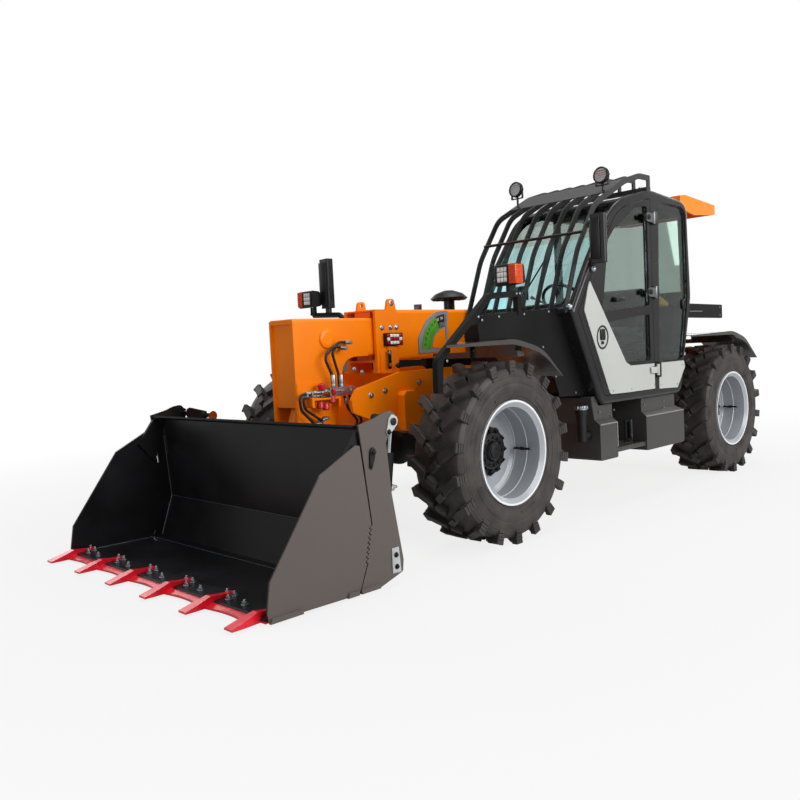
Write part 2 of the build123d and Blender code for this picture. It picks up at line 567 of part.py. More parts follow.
def make_cowl():
    # Deep cover in front of the cab's right half, and a hollow wing beside it over the front fender.
    wing = [(150, 1292), (165, 1400, 20), (105, 1462, 20), (-744, 1508, 10), (-800, 1400), (-1060, 868),
            (-700, 886, 20), (-640, 1020, 60), (-420, 1230, 200), (-100, 1310, 100)]
    wing_inside = [(138, 1300), (150, 1400, 20), (100, 1448, 20), (-730, 1493), (-780, 1400),
                   (-1040, 850),
                   (-1050, 700), (-660, 700), (-600, 1040, 60), (-400, 1190, 200), (-100, 1280, 100)]
    ahead = block(COWL_FRONT, 400, 100, WING_IN, 600, 1700)
    ahead_inside = block(COWL_FRONT - BAY_SHEET, 400, 100, WING_IN + BAY_SHEET, 600, 1700)
    cover = side_plate(wing, 200, 1000).cut(ahead)
    hollow = side_plate(wing_inside, 212, 988).cut(ahead_inside)
    bar = side_plate(LAMP_ARM, 965, 1005)
    stay = block(-290, -250, 965, 1005, 1462, 1600)
    arch = arch_space(1).cut(plan_plate(FENDER_NOSE, 600, 1400))
    # Room for the chassis plates, which rise in front of the cab.
    inboard = block(-1300, 700, CAB_RIGHT, FRAME_HALF, 700, FRAME_OUTLINE[6][1] + 2)
    frame_top = block(COWL_FRONT - 30, COWL_FRONT + 30, CAB_RIGHT, FRAME_HALF + 2, 700,
                      FRAME_OUTLINE[7][1] + 2)
    cab_space = cab_prism(0, CAB_RIGHT - 5, CAB_LEFT + 5)
    whole = fused(cover.cut(hollow), bar, stay).cut(cab_space, arch, inboard, frame_top)
    piece("cowl", max(whole.solids(), key=lambda solid: solid.volume))
    return cover


ARM_R = 22.0               # tube that carries the right head lamp
RIGHT_ARM_X = -245.0


def make_right_arm():
    """Tube on the right fender that carries the right head lamp and mirror."""
    tube = pipe([(RIGHT_ARM_X, -1112, 1590), (RIGHT_ARM_X, -745, 1572, 60), (RIGHT_ARM_X, -745, 1180)],
                ARM_R)
    piece("right_arm", tube.cut(arch_space(-1)))


def make_lamps():
    """Head lamps on their arms, roof lamps and the rear dome lamp."""
    solids = []
    for y0, y1, foot, carrier in ((905, 1075, (-210, -180, 975, 995), "cowl"),
                                  (-1183, -1013, (-250, -226, -1100, -1080), "right_arm")):
        body = side_plate([(-250, 1664, 20), (-236, 1784, 20), (-160, 1790, 8), (-146, 1786, 6),
                           (-146, 1654, 6), (-160, 1650, 8)], y0, y1)
        solids.append(body.fuse(block(*foot, 1590, 1668)).cut(*PIECES[carrier]))
    for y, z in ((215.0, 2517.0), (1000.0, 2490.0)):
        face = turned([(0, 0), (0, 62, 6), (22, 62), (48, 34, 10), (48, 0)], (-1330, y, z),
                      (-1, 0, -0.12))
        stem = rod((-1356, y, 2340), (-1356, y, z - 17), 9)
        lamp = face.fuse(stem).cut(*PIECES["roof_guard"])
        solids.append(max(lamp.solids(), key=lambda solid: solid.volume))
    dome = turned([(0, 0), (0, 40), (50, 40), (50, 72), (80, 72, 18), (100, 40, 20), (100, 0)],
                  (-2950, 640, 2440), (0, 0, -1))
    dome = dome.cut(*PIECES["roof_visor"])
    solids.append(min(dome.solids(), key=lambda solid: solid.center().Z))
    piece("lamps", solids)


TRAY = (-2440.0, -760.0)           # ends of the engine bay, between the wheels
TRAY_SIDE = -1080.0
TRAY_Z = (520.0, 1180.0)
BAY_SHEET = 12.0           # thickness of the sheets round the bay, and of the cowl's front
LID_FRONT = -1400.0
HOOD_BARREL_R = 10.0


def bay_cover(x0, x1, z0, inside=0.0):
    """Rounded cover over the engine bay; with a depth inside, the space below it."""
    side = TRAY_SIDE + inside
    return cross_plate([(HOOD_HINGE[0] - inside, z0),
                        (HOOD_HINGE[0] - inside, HOOD_HINGE[1] - inside, 20), (-900, 1380 - inside, 120),
                        (side, 1240, 60), (side, z0)], x0 + inside, x1 - inside)


def make_right_side():
    y0 = -FRAME_HALF
    tray = block(*TRAY, y0, TRAY_SIDE, *TRAY_Z)
    tray = tray.cut(block(TRAY[0] + 25, TRAY[1] - 25, y0 - 25, TRAY_SIDE + 25, TRAY_Z[0] + 25,
                          TRAY_Z[1] + 20))
    hinge_wall = block(*TRAY, y0, HOOD_HINGE[0] + RUNNING, TRAY_Z[1] - 25,
                       HOOD_HINGE[1] - HOOD_BARREL_R - 1)
    hinge_wall = hinge_wall.cut(block(TRAY[0] + 25, TRAY[1] - 25, y0 - BAY_SHEET,
                                      HOOD_HINGE[0] + BAY_SHEET, TRAY_Z[1] - 30, HOOD_HINGE[1] - 22))
    piece("engine_tray", tray.fuse(hinge_wall))
    piece("engine_block", block(-2380, -1440, -470, -900, TRAY_Z[0] + 25, 1150))
    lid = bay_cover(TRAY[0], LID_FRONT - SEAM, TRAY_Z[1] + SEAM)
    lid = lid.cut(bay_cover(TRAY[0], LID_FRONT - SEAM, TRAY_Z[1], BAY_SHEET))
    for x in (TRAY[0] + 90, LID_FRONT - 190):
        lid = lid.fuse(rod((x, *HOOD_HINGE), (x + 100, *HOOD_HINGE), HOOD_BARREL_R))
    piece("engine_hood", lid)
    cover = bay_cover(LID_FRONT, TRAY[1], TRAY_Z[1])
    piece("engine_cover", cover.cut(bay_cover(LID_FRONT, TRAY[1], TRAY_Z[1] - 10, BAY_SHEET)))
    cleaner = turned([(0, 0), (0, 48), (300, 48), (300, 150), (312, 165, 8), (352, 120, 40),
                      (380, 40, 30), (383, 0)], (-1250, -486, HOOD_HINGE[1] - 20), (0, 0, 1))
    piece("air_cleaner", cleaner.cut(cover))


MIRROR_OUT = 1240.0        # outer edge of the near mirror's head
MIRROR_IN = MIRROR_OUT - 110.0
MIRROR_PLAN = [(-1010, MIRROR_IN, 14), (-1010, MIRROR_OUT, 30), (-955, MIRROR_OUT, 18),
               (-940, MIRROR_IN, 10)]


def make_mirrors():
    """Head on an upright rod, one each side, at different heights."""
    head = plan_plate(MIRROR_PLAN, 1810, 2150)
    post = rod((-1000, MIRROR_IN - 15, 1770), (-1000, MIRROR_IN - 15, 2120), 10)
    ties = [block(-1010, -955, MIRROR_IN - 25, MIRROR_IN + 5, z, z + 18) for z in (1830, 2080)]
    arms = [block(-1240, -990, CAB_LEFT, MIRROR_IN - 10, 2090, 2110),
            block(-1010, -990, CAB_LEFT, MIRROR_IN - 10, 1775, 1795)]
    far = plan_plate([(x + 695, 355 - y * 1.12, bend) for x, y, bend in MIRROR_PLAN], 1640, 2045)
    far_stem = rod((-275, -955, 1585), (-275, -955, 1650), 26).cut(*PIECES["right_arm"])
    piece("mirrors", fused(head, post, *ties, *arms), far.fuse(far_stem))


def make_rear_lamps():
    arm = side_plate([(-2470, 1420, 5), (-2470, 1540, 5), (-3220, 1530, 10), (-3220, 1410, 10)], 1040,
                     1065)
    piece("rear_lamps", arm.cut(cab_prism(0, CAB_RIGHT, CAB_LEFT)))


# ---------------------------------------------------------------- boom
BOOM_FRONT = 250.0
BOOM_REAR = -2900.0
BOOM_TOP, BOOM_BOTTOM = 1555.0, 1195.0
BOOM_SHEET = 10.0
INNER_TOP, INNER_BOTTOM = 1500.0, 1240.0
INNER_REAR = -2700.0


def wear_pads(x0, x1, y_in, y_out, z_low, z_high):
    """Four slabs between the two booms: z_low and z_high are (inner boom side, outer boom side)."""
    pads = [block(x0, x1, -80, 80, *z_low), block(x0, x1, -80, 80, *z_high)]
    for sign in (1, -1):
        pads.append(block(x0, x1, sign * y_in, sign * y_out, 1300, 1440))
    return pads


def make_outer_boom():
    tube = cross_plate([(-BOOM_HALF, BOOM_BOTTOM, 30), (-BOOM_HALF, BOOM_TOP, 30),
                        (BOOM_HALF, BOOM_TOP, 30), (BOOM_HALF, BOOM_BOTTOM, 30)], BOOM_REAR, BOOM_FRONT)
    bore = cross_plate([(-BOOM_HALF + BOOM_SHEET, BOOM_BOTTOM + BOOM_SHEET, 20),
                        (-BOOM_HALF + BOOM_SHEET, BOOM_TOP - BOOM_SHEET, 20),
                        (BOOM_HALF - BOOM_SHEET, BOOM_TOP - BOOM_SHEET, 20),
                        (BOOM_HALF - BOOM_SHEET, BOOM_BOTTOM + BOOM_SHEET, 20)],
                       BOOM_REAR + 40, BOOM_FRONT + 10)
    root = side_plate([(BOOM_REAR - 300, 1380, 60), (BOOM_REAR - 300, 1550, 60), (BOOM_REAR + 20, 1555),
                       (BOOM_REAR + 20, 1195)], -BOOM_HALF, BOOM_HALF)
    hub = cross_rod(BOOM_PIVOT, -FRAME_IN + RUNNING, FRAME_IN - RUNNING, 85)
    pads = wear_pads(100, 220, HEAD_HALF + RUNNING, BOOM_HALF - 5,
                     (BOOM_BOTTOM + 5, INNER_BOTTOM - RUNNING), (INNER_TOP + RUNNING, BOOM_TOP - 5))
    boom = fused(tube.cut(bore), root, hub, *pads)
    collar = block(40, BOOM_FRONT, -BOOM_HALF - 12, BOOM_HALF + 12, 1115, BOOM_TOP)
    collar = collar.cut(block(30, BOOM_FRONT + 10, -BOOM_HALF + 5, BOOM_HALF - 5, BOOM_BOTTOM + 8,
                              BOOM_TOP - 8))
    collar = collar.cut(block(30, BOOM_FRONT + 10, -BOOM_HALF + 30, BOOM_HALF - 30, 1100,
                              BOOM_BOTTOM - 5))
    boom = boom.fuse(collar)
    for sign in (1, -1):
        y0, y1 = sign * (BOOM_HALF - 6), sign * (BOOM_HALF + 12)
        ear = side_plate([(46, BOOM_TOP - 5), (60, 1628, 24), (122, 1628, 24), (142, BOOM_TOP - 5)],
                         min(y0, y1), max(y0, y1))
        boom = boom.fuse(ear).cut(cross_rod((91, 1600), min(y0, y1) - 5, max(y0, y1) + 5, 14))
        lug = side_plate([(LIFT_EYE[0] - 110, BOOM_BOTTOM + 2), (LIFT_EYE[0] - 60, LIFT_EYE[1] - 75, 30),
                          (LIFT_EYE[0] + 60, LIFT_EYE[1] - 75, 30),
                          (LIFT_EYE[0] + 110, BOOM_BOTTOM + 2)], min(sign * 76, sign * 96),
                         max(sign * 76, sign * 96))
        boom = boom.fuse(lug)
    boom = boom.cut(cross_rod(BOOM_PIVOT, -FRAME_HALF, FRAME_HALF, PIVOT_PIN_R + RUNNING))
    piece("outer_boom", boom)


# (x, z, corner radius) of the head: the boom's nose bends down behind the bucket.
HEAD_OUTLINE = [
    (300, INNER_TOP), (935, INNER_TOP, 12), (935, 560, 40), (986, 448, 20), (986, 345, 50),
    (874, 345, 50), (625, 800, 60), (560, 1000, 60), (530, INNER_BOTTOM - 20, 110), (410, INNER_BOTTOM, 30),
    (300, INNER_BOTTOM)]
HEAD_PLATE = 20.0
TILT_PIN_R = 30.0


def boom_section(half, low, high, radius, x0, x1):
    """Box section of a boom with rounded edges."""
    return cross_plate([(-half, low, radius), (-half, high, radius), (half, high, radius),
                        (half, low, radius)], x0, x1)


def make_inner_boom():
    tube = boom_section(HEAD_HALF, INNER_BOTTOM, INNER_TOP, 22, INNER_REAR, 330)
    bore = boom_section(HEAD_HALF - 8, INNER_BOTTOM + 8, INNER_TOP - 8, 14, INNER_REAR - 10, 300)
    inside = HEAD_HALF - HEAD_PLATE
    head = side_plate(HEAD_OUTLINE, -HEAD_HALF, HEAD_HALF)
    hollow = side_plate([(420, INNER_TOP - 14), (905, INNER_TOP - 14, 10), (905, 930), (1100, 930),
                         (1100, 200), (800, 200),
                         (640, 830, 60), (585, 1010, 60), (550, INNER_BOTTOM - 4, 90),
                         (420, INNER_BOTTOM + 12)], -inside, inside)
    recess = block(920, 960, -inside, inside, 600, INNER_TOP - 34)
    head = head.cut(hollow, recess)
    # The lower cheeks are doubled; the upper edges are rounded like the tube's.
    cheek = side_plate([(930, 1088, 8), (930, 810), (650, 810), (568, 1000, 60), (546, 1088, 8)],
                       HEAD_HALF - 4, HEAD_HALF + 6)
    section = [(-HEAD_HALF, 200), (-HEAD_HALF, INNER_TOP, 22), (HEAD_HALF, INNER_TOP, 22),
               (HEAD_HALF, 200)]
    head = fused(head.intersect(cross_plate(section, 250, 1100)).solids()[0], *both_sides(cheek))
    boss = turned([(0, 0), (0, 66, 2), (16, 60, 8), (20, 40, 4), (20, 0)],
                  (TILT_FOOT[0], HEAD_HALF - 2, TILT_FOOT[1]))
    pin = cross_rod(TILT_FOOT, -HEAD_HALF, HEAD_HALF, TILT_PIN_R)
    pads = wear_pads(INNER_REAR, INNER_REAR + 120, HEAD_HALF - 5, BOOM_HALF - BOOM_SHEET - RUNNING,
                     (BOOM_BOTTOM + BOOM_SHEET + RUNNING, INNER_BOTTOM + 5),
                     (INNER_TOP - 5, BOOM_TOP - BOOM_SHEET - RUNNING))
    bracket = side_plate([(640, 920, 10), (640, 990, 10), (700, 985), (780, 985), (880, 996, 6),
                          (880, 930, 10), (760, 920)], HEAD_HALF + 4, HEAD_HALF + 90)
    bracket = bracket.cut(block(660, 860, HEAD_HALF + 14, HEAD_HALF + 95, 900, 974))
    inner = fused(tube.cut(bore), head, *both_sides(boss), pin, *pads, bracket)
    inner = inner.cut(cross_rod(TILT_PIN, -300, 300, TILT_PIN_R + RUNNING))
    piece("inner_boom", inner)


HOSE_R = 9.0
HOSE_Y = HEAD_HALF + 62
# Rows of (x, z, bend radius); each hose starts and ends in a fitting on the head's left side.
HOSES = [
    [(556, 1297), (655, 1312, 40), (742, 1250, 50), (684, 1130, 60), (684, 1046)],
    [(499, 1335), (600, 1340, 40), (660, 1270, 50), (614, 1130, 60), (614, 1046)],
    [(900, 1022), (962, 1012, 34), (948, 920, 50), (850, 822, 40), (800, 822)],
    [(880, 1000), (920, 985, 26), (905, 920, 50), (780, 840, 30), (730, 850)],
    [(588, 985), (560, 900, 60), (470, 800, 30), (560, 742, 40), (690, 742)],
    [(530, 985), (505, 900, 60), (425, 812, 30), (500, 722, 40), (690, 722)]]


def make_hoses():
    """Hoses on the head's left side, with their fittings and the coupler rows."""
    hoses, metal = [], []
    for i, rows in enumerate(HOSES):
        y = HOSE_Y - (16 if i % 2 else 0)
        hose = pipe([(x, y, z, *bend) for x, z, *bend in rows], HOSE_R)
        hoses.append(max(hose.cut(*PIECES["inner_boom"]).solids(), key=lambda solid: solid.volume))
        (x, z), (nx, nz) = (rows[0][:2], rows[1][:2]) if i < 2 else (rows[-1][:2], rows[-2][:2])
        along = Vector(nx - x, 0, nz - z).normalized() * 48
        elbow = cross_rod((x, z), HEAD_HALF, y + 12, 12)
        metal.append(elbow.fuse(rod((x, y, z), (x + along.X, y, z + along.Z), 13)))
    for y, z in ((HOSE_Y, 1022), (HOSE_Y - 16, 1000)):
        steps = [(0, 0), (0, 12), (60, 12), (60, 15), (118, 15), (118, 19), (170, 19), (170, 13),
                 (220, 13), (220, 17), (290, 17), (290, 0)]
        metal.append(turned(steps, (910, y, z), (-1, 0, 0)))
    core = block(500, 720, HEAD_HALF + 16, HOSE_Y + 14, 990, 1046)
    row = fused(core, *metal[-2:])
    metal = metal[:-2] + [row]
    piece("hoses", hoses)
    piece("couplers", [max(solid.cut(*hoses, *PIECES["inner_boom"]).solids(),
                           key=lambda s: s.volume) for solid in metal])


def make_boom_lamp():
    """Bracket under the outer boom's collar with the working lamp."""
    y0 = BOOM_HALF + 12 + RUNNING
    plate = side_plate([(225, 1272, 8), (225, 1112, 16), (95, 1112, 16), (58, 1150, 16), (58, 1272, 8)],
                       y0, y0 + 8)
    lamp = block(22, 182, y0, y0 + 31, 1302, 1390)
    stem = block(80, 160, y0, y0 + 14, 1262, 1310)
    piece("boom_lamp", fused(plate, stem, lamp))


def make_angle_scale():
    """Quadrant plate on the boom's side, near the cab."""
    y0 = BOOM_HALF + RUNNING
    outline = [(-176, 1236), (-176, 1348, 10), (-267, 1478, 200), (-377, 1539, 200), (-504, 1545, 10),
               (-485, 1297, 10), (-418, 1237, 10)]
    frame = side_plate(outline, y0, y0 + 10)
    dial = side_plate([(-205, 1262, 6), (-208, 1345, 20), (-285, 1452, 200), (-380, 1510, 200),
                       (-480, 1520, 6), (-468, 1305, 6), (-420, 1262, 6)], y0 + 6, y0 + 20)
    piece("angle_scale", frame.cut(dial))


def cylinder_barrel(foot, eye, y, radius, rod_r, foot_r, foot_half, length):
    """Barrel from its foot pin towards the eye."""
    axis = Vector(eye[0] - foot[0], 0, eye[1] - foot[1]).normalized()
    start = Vector(foot[0], y, foot[1])
    tube = rod(tuple(start + axis * (foot_r + 25)), tuple(start + axis * length), radius)
    bore = rod(tuple(start + axis * (foot_r + 60)), tuple(start + axis * (length + 10)), rod_r + RUNNING)
    neck = rod(tuple(start), tuple(start + axis * (foot_r + 40)), radius * 0.6)
    boss = cross_rod(foot, y - foot_half, y + foot_half, foot_r + 22)
    hole = cross_rod(foot, y - foot_half - 5, y + foot_half + 5, foot_r + RUNNING)
    return fused(tube, neck, boss).cut(bore, hole)


def cylinder_rod(foot, eye, y, radius, eye_r, eye_half, depth):
    """Rod from inside the barrel to the eye."""
    axis = Vector(eye[0] - foot[0], 0, eye[1] - foot[1]).normalized()
    stop = Vector(eye[0], y, eye[1])
    bar = rod(tuple(Vector(foot[0], y, foot[1]) + axis * depth), tuple(stop), radius)
    boss = cross_rod(eye, y - eye_half, y + eye_half, eye_r + 18)
    return bar.fuse(boss)


def make_cylinders():
    lift = math.dist(LIFT_FOOT, LIFT_EYE)
    tilt = math.dist(TILT_FOOT, TILT_EYE)
    clam = math.dist(CLAM_FOOT, CLAM_EYE)
    piece("lift_barrel", cylinder_barrel(LIFT_FOOT, LIFT_EYE, 0, 72, 38, LIFT_PIN_R, 75, lift - 85))
    piece("lift_rod", cylinder_rod(LIFT_FOOT, LIFT_EYE, 0, 38, LIFT_PIN_R, 75, LIFT_PIN_R + 75))
    piece("tilt_barrel", cylinder_barrel(TILT_FOOT, TILT_EYE, 0, 52, 26, TILT_PIN_R, 40, tilt - 125))
    piece("tilt_rod", cylinder_rod(TILT_FOOT, TILT_EYE, 0, 26, TILT_PIN_R - 12, 38, TILT_PIN_R + 110))
    barrel = cylinder_barrel(CLAM_FOOT, CLAM_EYE, CLAM_CYLINDER_Y, 38, 20, 18, 26, clam - 165)
    piece("clam_barrels", both_sides(barrel))
    piece("clam_rods", both_sides(cylinder_rod(CLAM_FOOT, CLAM_EYE, CLAM_CYLINDER_Y, 20, 18, 26, 205)))


# ---------------------------------------------------------------- carriage and bucket
BACK_TOP = (1224.0, 868.0)
BACK_KINK = (1178.0, 298.0)
BACK_FOOT = (1276.0, BUCKET_FLOOR_Z + 12)
SPLIT = [(1309, 891), (1246, 357), (1290, 160), (1355, BUCKET_FLOOR_Z)]     # seam between back and clam
SPLIT_TEETH, SPLIT_BITE, SPLIT_GAP = 8, 17.0, 8.0
REAR_SIDE = [(1180, 918, 10), (1122, 940, 20), (1057, 948, 40), (1012, 889, 40), (1085, 822, 30),
             (1111, 779), (1101, 673), (1087, 500),
             (1022, 127, 20), (1030, 62, 15), (1200, BUCKET_FLOOR_Z, 10)]
CLAM_PIN_R = 20.0
TEETH = 6
TOOTH_Y = 1040.0           # middle of an outermost tooth
LIP = TOOTH_REACH - 205.0   # front end of the floor sheet
EDGE_REAR = LIP + 5.0
CLAM_SIDE = [(1301, 785), (1328, 790, 10), (1574, 665), (LIP + 9, 206), (LIP + 33, 60),
             (LIP + 26, BUCKET_FLOOR_Z + 8)]
# (x, z) of a tooth's side and (x, half width) of its plan.
TOOTH_SIDE = [(LIP - 100, 40.3), (LIP - 100, 52), (LIP - 10, 58), (LIP + 50, 66), (LIP + 100, 52),
              (TOOTH_REACH, 24),
              (TOOTH_REACH, 14), (LIP + 90, BUCKET_FLOOR_Z), (EDGE_REAR, BUCKET_FLOOR_Z),
              (EDGE_REAR, 40.3)]
TOOTH_PLAN = [(LIP - 100, 20), (LIP - 30, 16), (LIP + 60, 22), (LIP + 140, 32), (TOOTH_REACH, 34)]


def split_line(shift):
    """The seam's points from the top down, its middle stretch cut in teeth."""
    top, high, low, foot = [(x + shift, z) for x, z in SPLIT]
    points = [top, high]
    for i in range(SPLIT_TEETH):
        x, z = between(high, low, (i + 0.5) / SPLIT_TEETH)
        points += [(x + SPLIT_BITE, z), between(high, low, (i + 1) / SPLIT_TEETH)]
    return points + [foot]


def make_bucket_back(inside):
    """Bent back sheet with its heel and top rail, side plates, hitch hooks and cylinder feet."""
    low = BUCKET_FLOOR_Z
    sheet = side_plate([BACK_TOP, BACK_KINK, BACK_FOOT, (1349, low + BUCKET_SHEET), (1349, low),
                        (1200, low), (1166, 298), (1212, 868)], -inside, inside)
    rim = side_plate([(1195, 848), (1300, 878), (1297, 890), (1192, 862)], -inside, inside)
    gate = [block(950, 1316, sign * (inside - 34), sign * (inside + 5), 600, 1000) for sign in (1, -1)]
    side = side_plate(split_line(-SPLIT_GAP)[::-1] + REAR_SIDE, inside, BUCKET_HALF)
    skid = side_plate([(1210, low), (1220, low + 26, 6), (1345, low + 26, 6), (1345, low)],
                      BUCKET_HALF - 4, BUCKET_HALF + 12)
    back = fused(sheet.fuse(rim).cut(*gate), *both_sides(side.fuse(skid)))
    # Hooks that hang on the carriage, and the feet of the clam's cylinders.
    hook = side_plate([(1200, 740), (1105, 740, 20), (1060, 680, 20), (1060, 360, 20), (1105, 300, 20),
                       (1172, 300)], 0, 20)
    foot = side_plate([(CLAM_FOOT[0] - 30, CLAM_FOOT[1] - 26, 12),
                       (CLAM_FOOT[0] - 30, CLAM_FOOT[1] + 30, 16),
                       (CLAM_FOOT[0] + 40, CLAM_FOOT[1] + 70), (1172, 300), (1195, 200)], 0, 16)
    extras = [hook.moved(Location((0, y, 0))).cut(sheet) for y in (150, 210)]
    extras += [foot.moved(Location((0, CLAM_CYLINDER_Y + y, 0))).cut(sheet) for y in (-58, 42)]
    extras.append(cross_rod(CLAM_FOOT, CLAM_CYLINDER_Y - 58, CLAM_CYLINDER_Y + 58, 18))
    back = fused(back, *both_sides(*extras))
    for sign in (1, -1):
        back = back.cut(cross_rod(CLAM_PIN, sign * (inside - 1), sign * (BUCKET_HALF + 1),
                                  CLAM_PIN_R + RUNNING))
    piece("bucket_back", back)


def make_bucket_clam(inside):
    """Floor, side plates, hinge arms in the upper corners and the cylinders' levers."""
    low = BUCKET_FLOOR_Z
    side = side_plate(split_line(0)[1:] + CLAM_SIDE[::-1], inside, BUCKET_HALF)
    skids = [side_plate([(x0, low), (x0, low + 26, 6), (x1 - 12, low + 26, 6), (x1, low + 4), (x1, low)],
                        BUCKET_HALF - 4, BUCKET_HALF + 12) for x0,
             x1 in ((1362, 1440), (LIP - 170, LIP + 26))]
    px, pz = CLAM_PIN
    arm = side_plate([(px - 40, pz + 20, 30), (px + 20, pz + 48, 30), (1300, 860, 20), (1420, 700),
                      (1300, 560),
                      (1262, 700, 40), (1225, 800, 30), (px - 10, pz - 42, 30)], inside - 26, inside - 4)
    tie = side_plate([(1420, 700), (1300, 560), (1290, 600), (1400, 730)], inside - 26, inside + 2)
    gusset = plan_plate([(1420, inside + 2), (1420, inside - 110), (1300, inside - 26),
                         (1300, inside + 2)], 640, 652)
    ex, ez = CLAM_EYE
    lever = side_plate([(ex - 30, ez - 10, 20), (ex, ez + 30, 20), (px + 20, pz + 46, 20),
                        (px + 30, pz - 30, 20),
                        (ex, ez - 32, 20)], CLAM_CYLINDER_Y + 30, CLAM_CYLINDER_Y + 46)
    shaft = rod((px, CLAM_CYLINDER_Y + 30, pz), (px, BUCKET_HALF + 6, pz), CLAM_PIN_R)
    half = fused(side, arm, tie, lever, shaft, *skids)
    floor = block(SPLIT[-1][0], LIP, -inside, inside, low, low + BUCKET_SHEET)
    edge = side_plate([(LIP - 115, low + BUCKET_SHEET), (LIP - 105, 40), (LIP + 25, 40), (LIP + 40, 28),
                       (LIP, low + BUCKET_SHEET)], -inside, inside)
    piece("bucket_clam", fused(floor.fuse(edge), half, mirrored(half)))


def make_bucket_edge(inside):
    """Six bolted teeth with a length of cutting edge between each two."""
    side = side_plate(TOOTH_SIDE, -60, 60)
    plan = plan_plate(TOOTH_PLAN + [(x, -half) for x, half in TOOTH_PLAN[::-1]], 0, 100)
    tooth = side.intersect(plan).solids()[0]
    step = 2 * TOOTH_Y / (TEETH - 1)
    low = BUCKET_FLOOR_Z
    blade = side_plate([(EDGE_REAR, low), (EDGE_REAR, low + 10), (LIP + 41, low + 10), (LIP + 41, 34),
                        (LIP + 52, 32), (LIP + 110, low + 3), (LIP + 110, low)], -step / 2, step / 2)
    plan = plan_plate([(EDGE_REAR, 5 - step / 2), (EDGE_REAR, step / 2 - 5), (LIP + 92, step / 2 - 20),
                       (LIP + 66, 0, 700), (LIP + 92, 20 - step / 2)], 0, 60)
    blade = blade.intersect(plan).solids()[0]
    solids = []
    for i in range(TEETH):
        solids.append(tooth.moved(Location((0, step * i - TOOTH_Y, 0))))
        if i:
            solids.append(blade.moved(Location((0, step * (i - 0.5) - TOOTH_Y, 0))))
    strip = block(EDGE_REAR, LIP + 38, -inside, inside, low, low + 10)
    edge = strip.fuse(*solids)
    piece("bucket_edge", edge.cut(*PIECES["bucket_clam"]))


def make_bucket():
    inside = BUCKET_HALF - BUCKET_SIDE
    make_bucket_back(inside)
    make_bucket_clam(inside)
    make_bucket_edge(inside)


def make_carriage():
    """Quick hitch between the head and the bucket, swinging on the head's lowest pin."""
    solids = []
    for sign in (1, -1):
        y0, y1 = sorted((sign * (HEAD_HALF + 2), sign * (HEAD_HALF + 20)))
        solids.append(side_plate([(870, 360, 40), (890, 460, 40), (1010, 730, 20), (1056, 730),
                                  (1056, 330), (960, 330, 40)], y0, y1))
    plate = block(1044, 1059.7, -260, 260, 340, 560)
    pin = cross_rod(TILT_PIN, -HEAD_HALF - 26, HEAD_HALF + 26, TILT_PIN_R)
    for sign in (1, -1):
        y0, y1 = sorted((sign * 41, sign * 61))
        ex, ez = TILT_EYE
        solids.append(side_plate([(ex - 40, ez + 10, 20), (ex - 20, ez + 40, 20), (1050, ez + 50),
                                  (1050, ez - 60), (ex - 30, ez - 36, 20)], y0, y1))
    piece("carriage", fused(plate, pin, *solids))


# ---------------------------------------------------------------- writing
def main():
    make_wheels()
    make_running_gear()
    make_chassis()
    make_fenders()
    make_cab()
    make_door()
    make_cab_fittings()
    make_left_boxes()
    make_guard(make_cowl())
    make_right_arm()
    make_lamps()
    make_right_side()
    make_mirrors()
    make_rear_lamps()
    make_outer_boom()
    make_inner_boom()
    make_hoses()
    make_boom_lamp()
    make_angle_scale()
    make_cylinders()
    make_carriage()
    make_bucket()
    os.makedirs("parts", exist_ok=True)
    shift = Location((MIDDLE_SHIFT, 0, 0))
    for name, solids in PIECES.items():
        moved = [solid.moved(shift) for shape in solids for solid in shape.solids()]
        whole = moved[0] if len(moved) == 1 else Compound(children=moved)
        export_step(whole, f"parts/{name}.step")


main()
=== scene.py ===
import math
import bmesh
import bpy
from mathutils import Matrix, Vector


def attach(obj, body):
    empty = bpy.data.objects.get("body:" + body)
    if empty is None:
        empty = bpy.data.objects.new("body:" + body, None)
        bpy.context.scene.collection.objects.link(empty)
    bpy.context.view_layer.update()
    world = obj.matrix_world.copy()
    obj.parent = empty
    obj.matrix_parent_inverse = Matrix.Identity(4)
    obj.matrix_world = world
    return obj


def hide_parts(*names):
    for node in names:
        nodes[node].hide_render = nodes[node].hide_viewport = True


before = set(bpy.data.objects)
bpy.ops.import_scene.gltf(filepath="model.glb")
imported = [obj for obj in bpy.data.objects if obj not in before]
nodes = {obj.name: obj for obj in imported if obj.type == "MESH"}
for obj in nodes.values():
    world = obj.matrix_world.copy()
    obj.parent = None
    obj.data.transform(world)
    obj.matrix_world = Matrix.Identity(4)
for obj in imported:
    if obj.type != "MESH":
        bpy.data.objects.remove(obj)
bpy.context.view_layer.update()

# ---------------------------------------------------------------- camera
# The machine is seen from its front left corner, a little above a wheel's top.
camera = bpy.data.objects.new("camera", bpy.data.cameras.new("camera"))
bpy.context.scene.collection.objects.link(camera)
bpy.context.scene.camera = camera
camera.data.sensor_width = 36.0
camera.data.lens = 36.57
camera.data.clip_end = 200.0
camera.location = (5.1125, 4.26, 1.28)
CAMERA_YAW, CAMERA_DIP, CAMERA_ROLL = (math.radians(a) for a in (225.4, 3.64, -2.84))
ahead = Vector((math.cos(CAMERA_DIP) * math.cos(CAMERA_YAW),
                math.cos(CAMERA_DIP) * math.sin(CAMERA_YAW), -math.sin(CAMERA_DIP)))
level = ahead.cross(Vector((0, 0, 1))).normalized()
turn = Matrix.Rotation(CAMERA_ROLL, 3, -ahead)
side, upright = turn @ level, turn @ level.cross(ahead)
camera.rotation_mode = "QUATERNION"
camera.rotation_quaternion = Matrix((side, upright, -ahead)).transposed().to_quaternion()
bpy.context.scene.view_settings.view_transform = "Standard"


